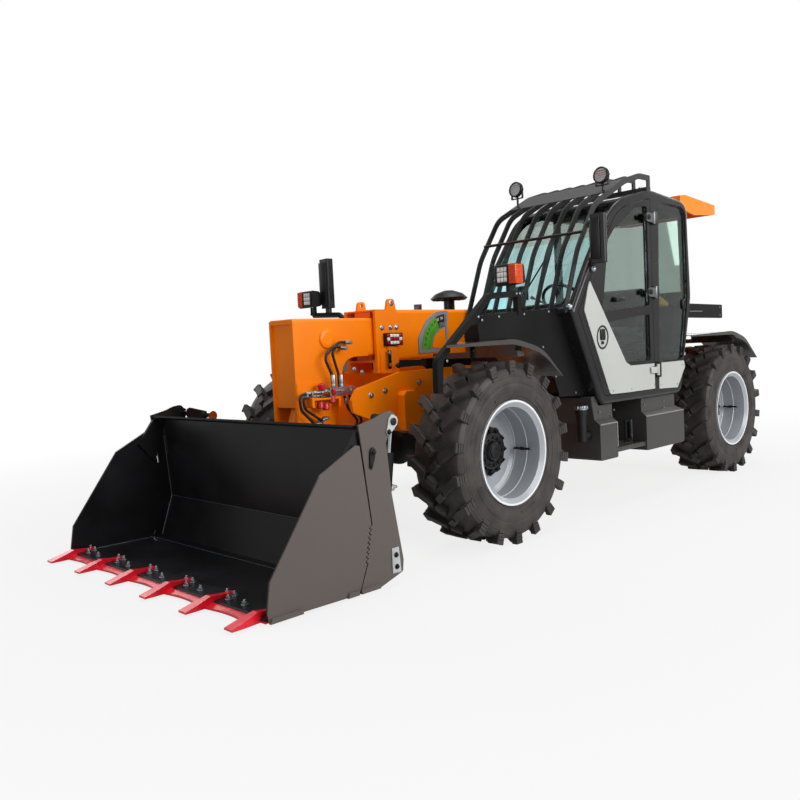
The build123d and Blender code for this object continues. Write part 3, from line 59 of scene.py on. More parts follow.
# ---------------------------------------------------------------- studio
# Soft boxes all round the machine and above it, the strongest on its left; the room is white to
# the eye.
def linear(code):
    """Linear colour of an sRGB hex value."""
    parts = [int(code[i:i + 2], 16) / 255 for i in (1, 3, 5)]
    return (*(v / 12.92 if v <= 0.04045 else ((v + 0.055) / 1.055) ** 2.4 for v in parts), 1.0)


def add_node(tree, kind, inputs, **settings):
    """Adds a node. An input is a value, or the output socket that feeds it."""
    node = tree.nodes.new(kind)
    for name, value in settings.items():
        setattr(node, name, value)
    for key, value in inputs.items():
        if isinstance(value, bpy.types.NodeSocket):
            tree.links.new(value, node.inputs[key])
        else:
            node.inputs[key].default_value = value
    return node


def soft_box(name, place, target, width, height, power):
    light = bpy.data.lights.new(name, "AREA")
    light.shape = "RECTANGLE"
    light.size, light.size_y, light.energy = width, height, power
    box = bpy.data.objects.new(name, light)
    bpy.context.scene.collection.objects.link(box)
    box.location = place
    box.rotation_mode = "QUATERNION"
    box.rotation_quaternion = (Vector(target) - Vector(place)).to_track_quat("-Z", "Y")


soft_box("side_box", (-0.5, 9.0, 4.2), (0, 0, 1.0), 9.0, 4.5, 800)
soft_box("top_box", (0.0, 0.5, 8.5), (0, 0, 1.0), 9.0, 5.0, 420)
soft_box("front_box", (9.0, 1.0, 3.0), (0, 0, 1.0), 5.0, 3.0, 95)
soft_box("right_box", (-1.0, -9.0, 4.0), (0, 0, 1.0), 8.0, 4.0, 260)
soft_box("rear_box", (-9.0, 0.0, 4.0), (0, 0, 1.0), 6.0, 3.0, 180)

# The room's walls are white paper to the eye and through glass, and much dimmer in gloss.
GLOSS_SHARE = 0.22


def open_to_view(tree):
    """1 for a ray that shows the white room as it is, 0 for one that carries its light."""
    rays = add_node(tree, "ShaderNodeLightPath", {})
    gloss = add_node(tree, "ShaderNodeMath", {0: rays.outputs["Is Glossy Ray"], 1: GLOSS_SHARE},
                     operation="MULTIPLY")
    seen = add_node(tree, "ShaderNodeMath", {0: rays.outputs["Is Camera Ray"], 1: gloss.outputs[0]},
                    operation="MAXIMUM")
    return add_node(tree, "ShaderNodeMath",
                    {0: seen.outputs[0], 1: rays.outputs["Is Transmission Ray"]}, operation="MAXIMUM")


room = bpy.data.worlds.new("room")
bpy.context.scene.world = room
room.use_nodes = True
room.node_tree.nodes.clear()
ambient = add_node(room.node_tree, "ShaderNodeBackground", {"Color": (1, 1, 1, 1), "Strength": 0.2})
white = add_node(room.node_tree, "ShaderNodeBackground", {"Color": (1, 1, 1, 1), "Strength": 1.0})
mixed = add_node(room.node_tree, "ShaderNodeMixShader",
                 {0: open_to_view(room.node_tree).outputs[0], 1: ambient.outputs[0], 2: white.outputs[0]})
add_node(room.node_tree, "ShaderNodeOutputWorld", {"Surface": mixed.outputs[0]})

FLOOR_REACH = 40.0
ground = bmesh.new()
bmesh.ops.create_grid(ground, x_segments=1, y_segments=1, size=FLOOR_REACH)
floor_mesh = bpy.data.meshes.new("floor")
ground.to_mesh(floor_mesh)
ground.free()
floor = bpy.data.objects.new("floor", floor_mesh)
bpy.context.scene.collection.objects.link(floor)
paper = bpy.data.materials.new("matt_paper_floor")
paper.use_nodes = True
paper.node_tree.nodes.clear()
spot = add_node(paper.node_tree, "ShaderNodeTexCoord", {})
reach = add_node(paper.node_tree, "ShaderNodeVectorMath", {0: spot.outputs["Object"]}, operation="LENGTH")
fade = add_node(paper.node_tree, "ShaderNodeMapRange",
                {"Value": reach.outputs["Value"], "From Min": 3.0, "From Max": 8.0, "To Min": 0.82,
                 "To Max": 1.0})
share = add_node(paper.node_tree, "ShaderNodeMath",
                 {0: open_to_view(paper.node_tree).outputs[0], 1: fade.outputs[0]}, operation="MULTIPLY")
matt = add_node(paper.node_tree, "ShaderNodeBsdfDiffuse", {"Color": (0.5, 0.5, 0.5, 1)})
glow = add_node(paper.node_tree, "ShaderNodeEmission", {"Color": (1, 1, 1, 1), "Strength": 1.0})
mixed = add_node(paper.node_tree, "ShaderNodeMixShader",
                 {0: share.outputs[0], 1: matt.outputs[0], 2: glow.outputs[0]})
add_node(paper.node_tree, "ShaderNodeOutputMaterial", {"Surface": mixed.outputs[0]})
floor_mesh.materials.append(paper)


# ---------------------------------------------------------------- chassis frame and counterweight
# Two flame-cut plates with welded cross members, sprayed orange: a smooth two-coat enamel
# with a faint orange peel that shows in the highlights only. The slab behind them is cast iron
# under satin black chassis paint.
FRONT_AXLE_X = 1.0225      # the front axle's place, ahead of the machine's middle


def surfaced(name, colour, tone, roughness, patch_mm, grain_mm, depth_mm, zone=None, zone_colour=None,
             gloss=0.5, coat=0.0, **shader):
    """A finish whose colour drifts to a tone in patches, over a fine grain that is depth_mm deep.
    A zone is a function of the tree and the place that gives 1 where the zone's colour shows.
    Gloss is the specular level, and coat the weight of a clear coat."""
    material = bpy.data.materials.new(name)
    material.use_nodes = True
    tree = material.node_tree
    tree.nodes.clear()
    place = add_node(tree, "ShaderNodeTexCoord", {})
    patches = add_node(tree, "ShaderNodeTexNoise",
                       {"Vector": place.outputs["Object"], "Scale": 1000 / patch_mm, "Detail": 5.0})
    drift = add_node(tree, "ShaderNodeMapRange",
                     {"Value": patches.outputs["Fac"], "From Min": 0.38, "From Max": 0.68})
    shade = add_node(tree, "ShaderNodeMix", {0: drift.outputs[0], 6: linear(colour), 7: linear(tone)},
                     data_type="RGBA")
    if zone:
        shade = add_node(tree, "ShaderNodeMix", {0: zone(tree, place.outputs["Object"]), 6: shade.outputs[2],
                                                 7: linear(zone_colour)}, data_type="RGBA")
    wear = add_node(tree, "ShaderNodeMapRange",
                    {"Value": patches.outputs["Fac"], "From Min": 0.3, "From Max": 0.7,
                     "To Min": roughness * 0.85, "To Max": min(roughness * 1.2, 1.0)})
    grain = add_node(tree, "ShaderNodeTexNoise",
                     {"Vector": place.outputs["Object"], "Scale": 1000 / grain_mm, "Detail": 3.0})
    bump = add_node(tree, "ShaderNodeBump",
                    {"Height": grain.outputs["Fac"], "Strength": 0.6, "Distance": depth_mm / 1000})
    body = add_node(tree, "ShaderNodeBsdfPrincipled",
                    {"Base Color": shade.outputs[2], "Roughness": wear.outputs[0], "Normal": bump.outputs[0],
                     "Specular IOR Level": gloss, "Coat Weight": coat, **shader})
    add_node(tree, "ShaderNodeOutputMaterial", {"Surface": body.outputs[0]})
    return material


def clad(material, *names):
    """Gives CAD nodes a finish."""
    for name in names:
        slots = nodes[name].material_slots
        if not slots:
            nodes[name].data.materials.append(material)
        for held in slots:
            held.link = "OBJECT"
            held.material = material


def at(x, y, z):
    """A place that is measured from the ground below the front axle."""
    return Vector((x + FRONT_AXLE_X, y, z))


def round_off(shape, edges, width, steps=2):
    """Rounds edges, or chamfers them in one step."""
    bmesh.ops.bevel(shape, geom=edges, offset=width, offset_type="OFFSET", affect="EDGES", segments=steps,
                    profile=0.5, material=-1)


def block_in(shape, low, high, edge=0.0015, steps=2):
    """A block between two corners, its edges rounded."""
    size = Vector(high) - Vector(low)
    middle = (Vector(high) + Vector(low)) / 2
    made = bmesh.ops.create_cube(shape, size=1.0, matrix=Matrix.LocRotScale(middle, None, size))
    if edge:
        edges = list({e for v in made["verts"] for e in v.link_edges})
        round_off(shape, edges, edge, steps)


def rod_in(shape, start, end, radius, end_radius=None, sides=24, edge=0.0):
    """A round bar or a cone from start to end, its rims rounded."""
    along = Vector(end) - Vector(start)
    turn_to = along.to_track_quat("Z", "Y").to_matrix().to_4x4()
    middle = Matrix.Translation((Vector(start) + Vector(end)) / 2)
    made = bmesh.ops.create_cone(shape, cap_ends=True, cap_tris=False, segments=sides, radius1=radius,
                                 radius2=radius if end_radius is None else end_radius,
                                 depth=along.length, matrix=middle @ turn_to)
    if edge:
        rims = list({e for v in made["verts"] for e in v.link_edges
                     if abs((e.verts[0].co - e.verts[1].co).normalized().dot(along.normalized())) < 0.1})
        round_off(shape, rims, edge)


def plate_in(shape, corners, depth, edge=0.0015):
    """A flat plate: its corners in space, pushed through by a depth vector."""
    face = shape.faces.new([shape.verts.new(Vector(c)) for c in corners])
    grown = bmesh.ops.extrude_face_region(shape, geom=[face])["geom"]
    moved = [g for g in grown if isinstance(g, bmesh.types.BMVert)]
    bmesh.ops.translate(shape, vec=Vector(depth), verts=moved)
    if edge:
        edges = list({e for v in moved for e in v.link_edges if all(w in moved for w in e.verts)})
        edges += list({e for v in face.verts for e in v.link_edges if all(w in face.verts for w in e.verts)})
        round_off(shape, edges, edge, 1)


def spun_in(shape, rows, centre, axis, sides=48, share=1.0):
    """Spins rows of (along the axis, radius) round an axis, the whole way or a share of it."""
    axis = Vector(axis).normalized()
    out = axis.orthogonal().normalized()
    ring = [shape.verts.new(Vector(centre) + axis * a + out * r) for a, r in rows]
    edges = [shape.edges.new(pair) for pair in zip(ring, ring[1:])]
    bmesh.ops.spin(shape, geom=ring + edges, cent=Vector(centre), axis=axis, angle=math.tau * share,
                   steps=max(3, round(sides * share)), use_merge=share == 1.0, use_duplicate=False)
    bmesh.ops.remove_doubles(shape, verts=shape.verts, dist=0.00001)


def ring_in(shape, rows, centre, axis, sides=48, share=1.0):
    """Spins a closed outline of (along the axis, radius) round an axis."""
    spun_in(shape, rows + rows[:1], centre, axis, sides, share)


def screw_in(shape, place, axis, radius=0.008, proud=0.004):
    """Flat round screw head that stands proud of a face."""
    rod_in(shape, place, place + Vector(axis) * proud, radius, sides=12, edge=0.001)


def spokes(count, high="z"):
    """Unit vectors round the wheels' line, or round the upright."""
    for i in range(count):
        wide, up = math.cos(math.tau * i / count), math.sin(math.tau * i / count)
        yield Vector((wide, 0, up)) if high == "z" else Vector((wide, up, 0))


def bolt_in(shape, place, axis, across=0.024, washer=True):
    """Hex bolt head with its washer, standing on a face at a place."""
    place, axis = Vector(place), Vector(axis).normalized()
    if washer:
        rod_in(shape, place - axis * 0.001, place + axis * across * 0.12, across * 0.85, sides=20,
               edge=0.0006)
    rod_in(shape, place, place + axis * across * 0.62, across * 0.577, across * 0.56, sides=6,
           edge=across * 0.05)


def finished(name, shape, body, slot, *materials, crease=32):
    """Makes a piece of a shape, with its finishes. It rides on a body; the slot is not used."""
    bmesh.ops.recalc_face_normals(shape, faces=shape.faces)
    mesh = bpy.data.meshes.new(name)
    shape.to_mesh(mesh)
    shape.free()
    for material in materials:
        mesh.materials.append(material)
    mesh.shade_smooth()
    mesh.set_sharp_from_angle(angle=math.radians(crease))
    made = bpy.data.objects.new(name, mesh)
    bpy.context.scene.collection.objects.link(made)
    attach(made, body)
    return made


orange_enamel = surfaced("orange_enamel", "#ff8600", "#f97e00", 0.3, 400, 4, 0.12, gloss=0.22, coat=0.08,
                         **{"Coat Roughness": 0.1})
clad(orange_enamel, "chassis_frame")
black_paint = surfaced("satin_black_chassis_paint", "#0c0b0c", "#121111", 0.4, 300, 3, 0.12, gloss=0.2)
clad(black_paint, "counterweight")
zinc = surfaced("zinc_plated_steel", "#aeb6bd", "#9aa2aa", 0.3, 30, 2, 0.05, Metallic=1.0)


def plated(name, shape, body):
    """A piece of zinc plated fasteners."""
    return finished(name, shape, body, "chrome_rod", zinc)


PLATE_OUT = 0.33           # outer faces of the chassis plates
bolts = bmesh.new()
for side in (1, -1):
    for x in (-3.92, -3.84):
        for z in (0.62, 0.78, 0.94):
            bolt_in(bolts, at(x, side * PLATE_OUT, z), (0, side, 0), 0.03)
    for x, z in ((0.35, 1.0), (0.48, 0.98), (0.02, 1.04), (-0.3, 1.05)):
        bolt_in(bolts, at(x, side * PLATE_OUT, z), (0, side, 0), 0.024)
    spun_in(bolts, [(0.0, 0.0), (0.012, 0.0), (0.012, 0.062), (0.0, 0.066), (-0.002, 0.0)],
            at(-3.1, side * 0.345, 1.47), (0, side, 0), 32)
    for spoke in spokes(4):
        bolt_in(bolts, at(-3.1, side * 0.357, 1.47) + spoke * 0.045, (0, side, 0), 0.014, False)
plated("chassis_bolts", bolts, "chassis")


# ---------------------------------------------------------------- axles and knuckles
# Cast steel drive axles with steering knuckles, dipped in satin black: rough cast skin
# under thin paint, which shows as a fine dull texture.
cast_black = surfaced("black_cast_iron_paint", "#0c0c0c", "#151312", 0.5, 120, 2, 0.35, gloss=0.2)
clad(cast_black, "axles", "knuckle_front_left", "knuckle_front_right", "knuckle_rear_left",
     "knuckle_rear_right")
AXLE_XS = (0.0, -3.27)
WHEEL_Z = 0.585

casting = bmesh.new()
for x in AXLE_XS:
    turn_in = -1 if x == 0.0 else 1
    for spoke in spokes(12):
        bolt_in(casting, at(x, 0.105, WHEEL_Z) + spoke * 0.125, (0, 1, 0), 0.02, False)
    rod_in(casting, at(x + turn_in * 0.225, 0, WHEEL_Z), at(x + turn_in * 0.28, 0, WHEEL_Z), 0.075,
           edge=0.004)
    for side in (1, -1):
        rod_in(casting, at(x, side * 0.3, WHEEL_Z), at(x, side * 0.33, WHEEL_Z), 0.095, edge=0.004)
        rod_in(casting, at(x, side * 0.56, WHEEL_Z), at(x, side * 0.6, WHEEL_Z), 0.098, edge=0.004)
finished("axle_flanges", casting, "chassis", "axle_black", cast_black)


# ---------------------------------------------------------------- rims and hubs
# Rolled steel rims with a welded disc in one silver enamel, painted as two copies: the rim a darker silver as
# painted shade, and the flange a lighter silver as a painted highlight. The planetary hub in the middle is
# black cast iron, held by zinc bolts, and the valve is a rubber covered pipe.
HUB_R = 0.166              # the hub's paint ends here
WHEELS = [("front_left", 0.0, 1), ("front_right", 0.0, -1), ("rear_left", -3.27, 1),
          ("rear_right", -3.27, -1)]
WHEEL_PLANE = 0.935


def hub_zone(tree, place):
    """1 within the hub's radius of either axle's line."""
    nearest = None
    for x in AXLE_XS:
        moved = add_node(tree, "ShaderNodeVectorMath", {0: place, 1: at(x, 0, WHEEL_Z)}, operation="SUBTRACT")
        flat = add_node(tree, "ShaderNodeVectorMath", {0: moved.outputs[0], 1: (1, 0, 1)},
                        operation="MULTIPLY")
        far = add_node(tree, "ShaderNodeVectorMath", {0: flat.outputs[0]}, operation="LENGTH")
        inside = add_node(tree, "ShaderNodeMath", {0: far.outputs["Value"], 1: HUB_R}, operation="LESS_THAN")
        nearest = inside if nearest is None else add_node(
            tree, "ShaderNodeMath", {0: nearest.outputs[0], 1: inside.outputs[0]}, operation="MAXIMUM")
    return nearest.outputs[0]


# The rim's silver is darkened as painted shade; the black hub zone is the hub's own paint.
rim_silver_painted_shade = surfaced("silver_rim_enamel_painted_shade", "#a6aab0", "#9ea2a8", 0.33, 300, 3, 0.1, hub_zone, "#0c0b0c",
                     coat=0.2)
clad(rim_silver_painted_shade, *(f"rim_{place}" for place, _, _ in WHEELS))
# The same silver made lighter for the flange and the barrel seams: a painted highlight.
flange_silver_painted_highlight = surfaced("silver_flange_enamel_painted_highlight", "#e9ebec", "#dfe1e3", 0.25, 200, 3, 0.05, coat=0.4)
hub_black = surfaced("black_hub_casting", "#0b0b0c", "#121112", 0.42, 60, 2, 0.3, gloss=0.3)

for place, x, side in WHEELS:
    body = f"wheel_{place}"
    centre = at(x, side * WHEEL_PLANE, WHEEL_Z)
    out = Vector((0, side, 0))
    ring = bmesh.new()
    # The rolled flange, and the two seams inside the barrel.
    ring_in(ring, [(0.1785, 0.322), (0.1905, 0.3215), (0.1925, 0.3265), (0.1915, 0.3345), (0.1785, 0.3355)],
            centre, out, 96)
    ring_in(ring, [(0.166, 0.296), (0.181, 0.314), (0.1795, 0.3185), (0.166, 0.2965)],
            centre, out, 96)
    for depth in (-0.038, 0.062):
        ring_in(ring, [(depth, 0.2915), (depth + 0.003, 0.2888), (depth + 0.006, 0.2888),
                       (depth + 0.009, 0.2915)], centre, out, 96)
    # The flange and seam rings take the lighter silver, a painted highlight.
    finished(f"rim_rings_{place}", ring, body, "rim_grey", flange_silver_painted_highlight)
    hub = bmesh.new()
    ring_in(hub, [(-0.021, 0.122), (-0.008, 0.124), (-0.004, 0.12), (-0.004, 0.113), (-0.021, 0.112)],
            centre, out, 48)
    ring_in(hub, [(0.0075, 0.107), (0.013, 0.105), (0.015, 0.1), (0.015, 0.079), (0.0075, 0.077)], centre,
            out, 48)
    ring_in(hub, [(0.029, 0.05), (0.036, 0.048), (0.038, 0.044), (0.038, 0.022), (0.034, 0.018), (0.034, 0.0),
                  (0.029, 0.0)], centre, out, 32)
    for spoke in spokes(12):
        bolt_in(hub, centre + out * -0.0205 + spoke * 0.143, out, 0.027)
        bolt_in(hub, centre + out * 0.0145 + spoke * 0.09, out, 0.015, False)
        rod_in(hub, centre + out * -0.021 + spoke * 0.143, centre + out * 0.006 + spoke * 0.143, 0.007,
               sides=10,
               edge=0.001)
        rim_edge = centre + spoke * 0.118
        block_in(hub, rim_edge - Vector((0.008, 0.012, 0.008)) - out * 0.006,
                 rim_edge + Vector((0.008, 0.012, 0.008)) - out * 0.006, 0.003)
    finished(f"hub_cover_{place}", hub, body, "axle_black", hub_black)
    valve = bmesh.new()
    foot = centre + Vector((-0.262, 0, -0.012)) + out * 0.012
    rod_in(valve, foot - out * 0.03, foot + out * 0.1, 0.0075, edge=0.001, sides=16)
    rod_in(valve, foot + out * 0.02, foot + out * 0.05, 0.0115, edge=0.002, sides=16)
    rod_in(valve, foot - out * 0.012, foot - out * 0.03 + Vector((-0.028, 0, 0)), 0.0075, sides=16)
    finished(f"valve_{place}", valve, body, "plastic", hub_black)
    tip = bmesh.new()
    rod_in(tip, foot + out * 0.1, foot + out * 0.118, 0.0068, 0.0055, sides=16, edge=0.001)
    plated(f"valve_cap_{place}", tip, body)


# ---------------------------------------------------------------- tyres
# Cross-ply traction tyres of black rubber, moulded in two halves: bars with a broken centre,
# stepped shoulders and low rings on the sidewall, greyed by dust where nothing rubs.
def dust_zone(tree, place):
    """Brownish dust in patches on the rubber."""
    spots = add_node(tree, "ShaderNodeTexNoise", {"Vector": place, "Scale": 9.0, "Detail": 6.0})
    return add_node(tree, "ShaderNodeMapRange", {"Value": spots.outputs["Fac"], "From Min": 0.3,
                                                 "From Max": 0.65,
                                                 "To Min": 0.1, "To Max": 0.7}).outputs[0]


tread_rubber = surfaced("tyre_rubber", "#232223", "#2d2b2a", 0.5, 120, 2, 0.2, dust_zone, "#4e4845",
                        gloss=0.3)
TYRE_R = 0.585
LUGS_PER_SIDE = 18
CASING = [(0.1775, 0.3055), (0.1777, 0.339), (0.183, 0.342), (0.1865, 0.35), (0.1875, 0.359), (0.191, 0.3605),
          (0.1965, 0.38), (0.1992, 0.41), (0.1995, 0.436), (0.1985, 0.4385), (0.1992, 0.441), (0.1985, 0.464),
          (0.1965, 0.482), (0.1945, 0.484), (0.1955, 0.4875), (0.193, 0.4975), (0.1905, 0.4995), (0.1905,
                  0.5035),
          (0.1855, 0.517), (0.174, 0.5345), (0.155, 0.5425), (0.12, 0.5458), (0.07, 0.547), (0.0, 0.5473)]
# (round the tread, along the axle) outlines: the bar to the shoulder and the block at the centre.
BAR = [(-0.032, 0.196), (-0.030, 0.165), (0.010, 0.108), (0.064, 0.050), (0.116, 0.070), (0.070, 0.128),
       (0.036, 0.165), (0.033, 0.196)]
CENTRE_BLOCK = [(0.076, 0.040), (0.124, 0.060), (0.174, 0.004), (0.132, -0.022)]
SHOULDER_STEPS = [(0.494, 0.513, 0.1985), (0.517, 0.535, 0.1993), (0.539, 0.557, 0.1998),
                  (0.561, 0.583, 0.1996)]


def fresh(shape, before):
    """The points of a shape that were added since a set of them was taken."""
    return [vert for vert in shape.verts if vert not in before]


def wrap_in(shape, before, side):
    """Bends fresh flat points (round the tread, along the axle, radius) round the wheel."""
    for vert in fresh(shape, before):
        turn = vert.co.x / TYRE_R
        vert.co = Vector((vert.co.z * math.sin(turn), vert.co.y * side, vert.co.z * math.cos(turn)))


def lug_in(shape, outline, side, foot, edge):
    """One rubber block on the tread, narrower at its top."""
    before = set(shape.verts)
    face = shape.faces.new([shape.verts.new((u, v, foot)) for u, v in outline])
    grown = bmesh.ops.extrude_face_region(shape, geom=[face])["geom"]
    top = [g for g in grown if isinstance(g, bmesh.types.BMVert)]
    middle = sum((v.co for v in top), Vector()) / len(top)
    bmesh.ops.translate(shape, vec=(0, 0, TYRE_R - 0.0006 - foot), verts=top)
    bmesh.ops.scale(shape, vec=(0.86, 0.985, 1.0), verts=top, space=Matrix.Translation(-middle))
    edges = list({e for v in top for e in v.link_edges if all(w in top for w in e.verts)})
    round_off(shape, edges, edge, 1)
    wrap_in(shape, before, side)


def turned_to(shape, before, turn, centre):
    """Turns fresh points about the wheel's line and carries them to its centre."""
    made = fresh(shape, before)
    bmesh.ops.rotate(shape, verts=made, cent=(0, 0, 0), matrix=Matrix.Rotation(turn, 3, "Y"))
    bmesh.ops.translate(shape, vec=centre, verts=made)
    return made


tread_halves = {}
for side in (1, -1):
    tread = bmesh.new()
    lug_in(tread, BAR, side, 0.532, 0.003)
    lug_in(tread, CENTRE_BLOCK, side, 0.542, 0.003)
    for low, high, y in SHOULDER_STEPS:
        before = set(tread.verts)
        block_in(tread, (-0.031, 0.16, low), (0.032, y, high), 0.002, 1)
        wrap_in(tread, before, side)
    tread_halves[side] = bpy.data.meshes.new("tread_half")
    tread.to_mesh(tread_halves[side])
    tread.free()

for place, x, side in WHEELS:
    centre = at(x, side * WHEEL_PLANE, WHEEL_Z)
    tyre = bmesh.new()
    spun_in(tyre, CASING + [(-a, r) for a, r in reversed(CASING[:-1])] + [CASING[0]], centre, (0, 1, 0), 120)
    # Low bars and wedges on both sidewalls, where a maker's words would be.
    for start, span, inner, outer in ((20, 26, 0.392, 0.412), (70, 30, 0.383, 0.43), (140, 22, 0.376, 0.392),
                                      (200, 34, 0.392, 0.412), (255, 24, 0.383, 0.43), (318, 26, 0.376,
                                              0.392)):
        for face in (1, -1):
            before = set(tyre.verts)
            ring_in(tyre, [(0.197, inner), (0.2005, inner + 0.002), (0.2008, outer - 0.002),
                           (0.197, outer)], (0, 0, 0), (0, face, 0), 72, span / 360)
            made = turned_to(tyre, before, math.radians(start), centre)
            bmesh.ops.holes_fill(tyre, edges=[e for e in tyre.edges if e.is_boundary and e.verts[0] in made],
                                 sides=8)
    for i in range(LUGS_PER_SIDE):
        for half in (1, -1):
            before = set(tyre.verts)
            tyre.from_mesh(tread_halves[half])
            shift = 0.5 if half * side < 0 else 0.0      # the two halves' bars stand between each other
            turned_to(tyre, before, math.tau * (i + shift) / LUGS_PER_SIDE, centre)
    made = finished(f"tyre_tread_{place}", tyre, f"wheel_{place}", "tyre", tread_rubber)
    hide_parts(f"tyre_{place}")


# ---------------------------------------------------------------- engine bay on the right
# Pressed steel hood and cover in orange enamel over a folded tray in satin black; the hood has
# a row of pressed slots, a rubber seal and a black plastic latch, and hinges on two barrels.
clad(orange_enamel, "engine_hood", "engine_cover")
clad(black_paint, "engine_tray")
clad(cast_black, "engine_block")
rubber = surfaced("moulded_black_rubber", "#111112", "#161617", 0.55, 40, 2, 0.15, gloss=0.3)
black_plastic = surfaced("black_moulded_plastic", "#121214", "#17171a", 0.38, 80, 1.5, 0.1, gloss=0.35)
clad(black_plastic, "air_cleaner")

slots = bmesh.new()
for i in range(11):
    x = -2.3 + 0.055 * i
    plate_in(slots, [at(x, -1.0795, 1.205 - 0.003), at(x + 0.03, -1.0795, 1.205),
                     at(x + 0.03, -1.0795, 1.235),
                     at(x, -1.0795, 1.235)], (0, -0.004, 0), 0.001)
for i in range(9):
    x = -1.34 + 0.058 * i
    for z in (1.07, 0.98, 0.89):
        block_in(slots, at(x, -1.0845, z), at(x + 0.034, -1.079, z + 0.05), 0.002, 1)
finished("bay_slots", slots, "chassis", "plastic", rubber)
latch = bmesh.new()
block_in(latch, at(-1.96, -1.092, 1.192), at(-1.86, -1.079, 1.232), 0.004)
block_in(latch, at(-1.935, -1.099, 1.202), at(-1.885, -1.09, 1.222), 0.004)
finished("hood_latch", latch, "hood", "plastic", black_plastic)

# Exhaust: an aluminised pipe through the cover, with a strap.
aluminised = surfaced("aluminised_exhaust_pipe", "#6f7072", "#5c5a58", 0.42, 60, 2, 0.1, Metallic=0.9)
pipe = bmesh.new()
ring_in(pipe, [(0.0, 0.036), (0.3, 0.036), (0.3, 0.032), (0.0, 0.032)], at(-1.16, -0.78, 1.36), (0, 0, 1), 32)
ring_in(pipe, [(0.02, 0.038), (0.05, 0.038), (0.05, 0.0355), (0.02, 0.0355)], at(-1.16, -0.78, 1.36),
        (0, 0, 1), 32)
finished("exhaust_stack", pipe, "chassis", "engine", aluminised)

# Radiator grille at the rear end of the tray, steps of bolts along its lower edge.
grille = bmesh.new()
for i in range(12):
    z = 0.6 + 0.045 * i
    plate_in(grille, [at(-2.4405, -0.42, z), at(-2.4405, -1.0, z), at(-2.4405, -1.0, z + 0.022),
                      at(-2.4405, -0.42, z + 0.022)], (-0.008, 0, -0.006), 0.001)
finished("radiator_grille", grille, "chassis", "black_frame", black_paint)
bolts = bmesh.new()
for i in range(7):
    bolt_in(bolts, at(-2.38 + 0.26 * i, -1.08, 0.56), (0, -1, 0), 0.02)
for x in (-2.38, -1.62, -1.35, -0.82):
    bolt_in(bolts, at(x, -1.08, 1.14), (0, -1, 0), 0.018)
plated("tray_bolts", bolts, "chassis")

# Domed top of the air intake: ribs under the cap and a band on the stem.
ribs = bmesh.new()
for spoke in spokes(16, "y"):
    rod_in(ribs, at(-1.25, -0.486, 1.678) + spoke * 0.06, at(-1.25, -0.486, 1.678) + spoke * 0.146, 0.004,
           sides=8)
ring_in(ribs, [(0.1, 0.0475), (0.1, 0.053), (0.122, 0.053), (0.122, 0.0475)], at(-1.25, -0.486, 1.4),
        (0, 0, 1), 32)
finished("intake_ribs", ribs, "chassis", "plastic", rubber)

# Engine: a ribbed block, its pulley and belt guard, seen through the gap under the hood.
engine = bmesh.new()
for i in range(8):
    x = -2.34 + 0.115 * i
    block_in(engine, at(x, -0.905, 0.62), at(x + 0.03, -0.88, 1.12), 0.004, 1)
for i in range(4):
    rod_in(engine, at(-2.25 + 0.2 * i, -0.7, 1.148), at(-2.25 + 0.2 * i, -0.7, 1.16), 0.05, edge=0.003)
finished("engine_ribs", engine, "chassis", "engine", cast_black)


# ---------------------------------------------------------------- fenders
# Rotation-moulded black polyethylene shells on steel brackets: a smooth skin with a soft
# shine that catches the sky along its crown.
fender_plastic = surfaced("moulded_polyethylene_fender", "#3c3a39", "#413f3e", 0.24, 200, 1.5, 0.04,
                          gloss=0.6, coat=0.3, **{"Coat Roughness": 0.15})
clad(fender_plastic, "fenders")
FENDER_ARM_X = -0.17
bolts = bmesh.new()
for axle in AXLE_XS:
    for side in (1, -1):
        for x, z in ((-0.36, 1.205), (-0.25, 1.225), (-0.15, 1.24)):
            bolt_in(bolts, at(axle + x, side * 0.698, z), (0, side, 0), 0.016)
        for x in (-0.03, 0.03):
            bolt_in(bolts, at(axle + FENDER_ARM_X + x * 0.7, side * 0.342, 1.205), (0, side, 0), 0.018)
            bolt_in(bolts, at(axle + FENDER_ARM_X + x * 0.7, side * 0.342, 1.12), (0, side, 0), 0.018)
plated("fender_bolts", bolts, "chassis")


# ---------------------------------------------------------------- step, tank boxes and filler
# Folded steel boxes under the cab in satin black: the fuel tank in front, the battery behind,
# and between them a step with a toothed tread. The filler neck is a hose with a bright cap.
box_paint = surfaced("satin_black_box_paint", "#3f3d3c", "#454241", 0.34, 300, 3, 0.12, gloss=0.35)
clad(box_paint, "left_boxes")
clad(rubber, "filler_neck")
teeth = bmesh.new()
for row in range(4):
    y = 1.08 - 0.09 * row
    for i in range(12):
        x = -1.7 + 0.034 * i
        plate_in(teeth, [at(x, y, 0.449), at(x + 0.026, y, 0.449), at(x + 0.02, y, 0.463),
                         at(x + 0.013, y, 0.456),
                         at(x + 0.006, y, 0.463)], (0, -0.005, 0), 0.0)
for y in (1.084, 0.776):
    block_in(teeth, at(-1.715, y, 0.448), at(-1.29, y + 0.006, 0.456), 0.001, 1)
finished("step_tread", teeth, "chassis", "black_frame", box_paint)
back_plate = bmesh.new()
block_in(back_plate, at(-1.7205, 0.915, 0.452), at(-1.715, 0.975, 0.63), 0.001, 1)
plated("step_back_plate", back_plate, "chassis")
slot = bmesh.new()
block_in(slot, at(-1.7155, 0.932, 0.475), at(-1.7145, 0.958, 0.607), 0.0004, 1)
finished("step_slots", slot, "chassis", "plastic", rubber)
strip = bmesh.new()
block_in(strip, at(-1.288, 1.07, 0.47), at(-1.278, 1.1035, 0.652), 0.001, 1)
for z in (0.5, 0.56, 0.62):
    bolt_in(strip, at(-1.292, 1.08, z), (-1, 0, 0), 0.013, False)
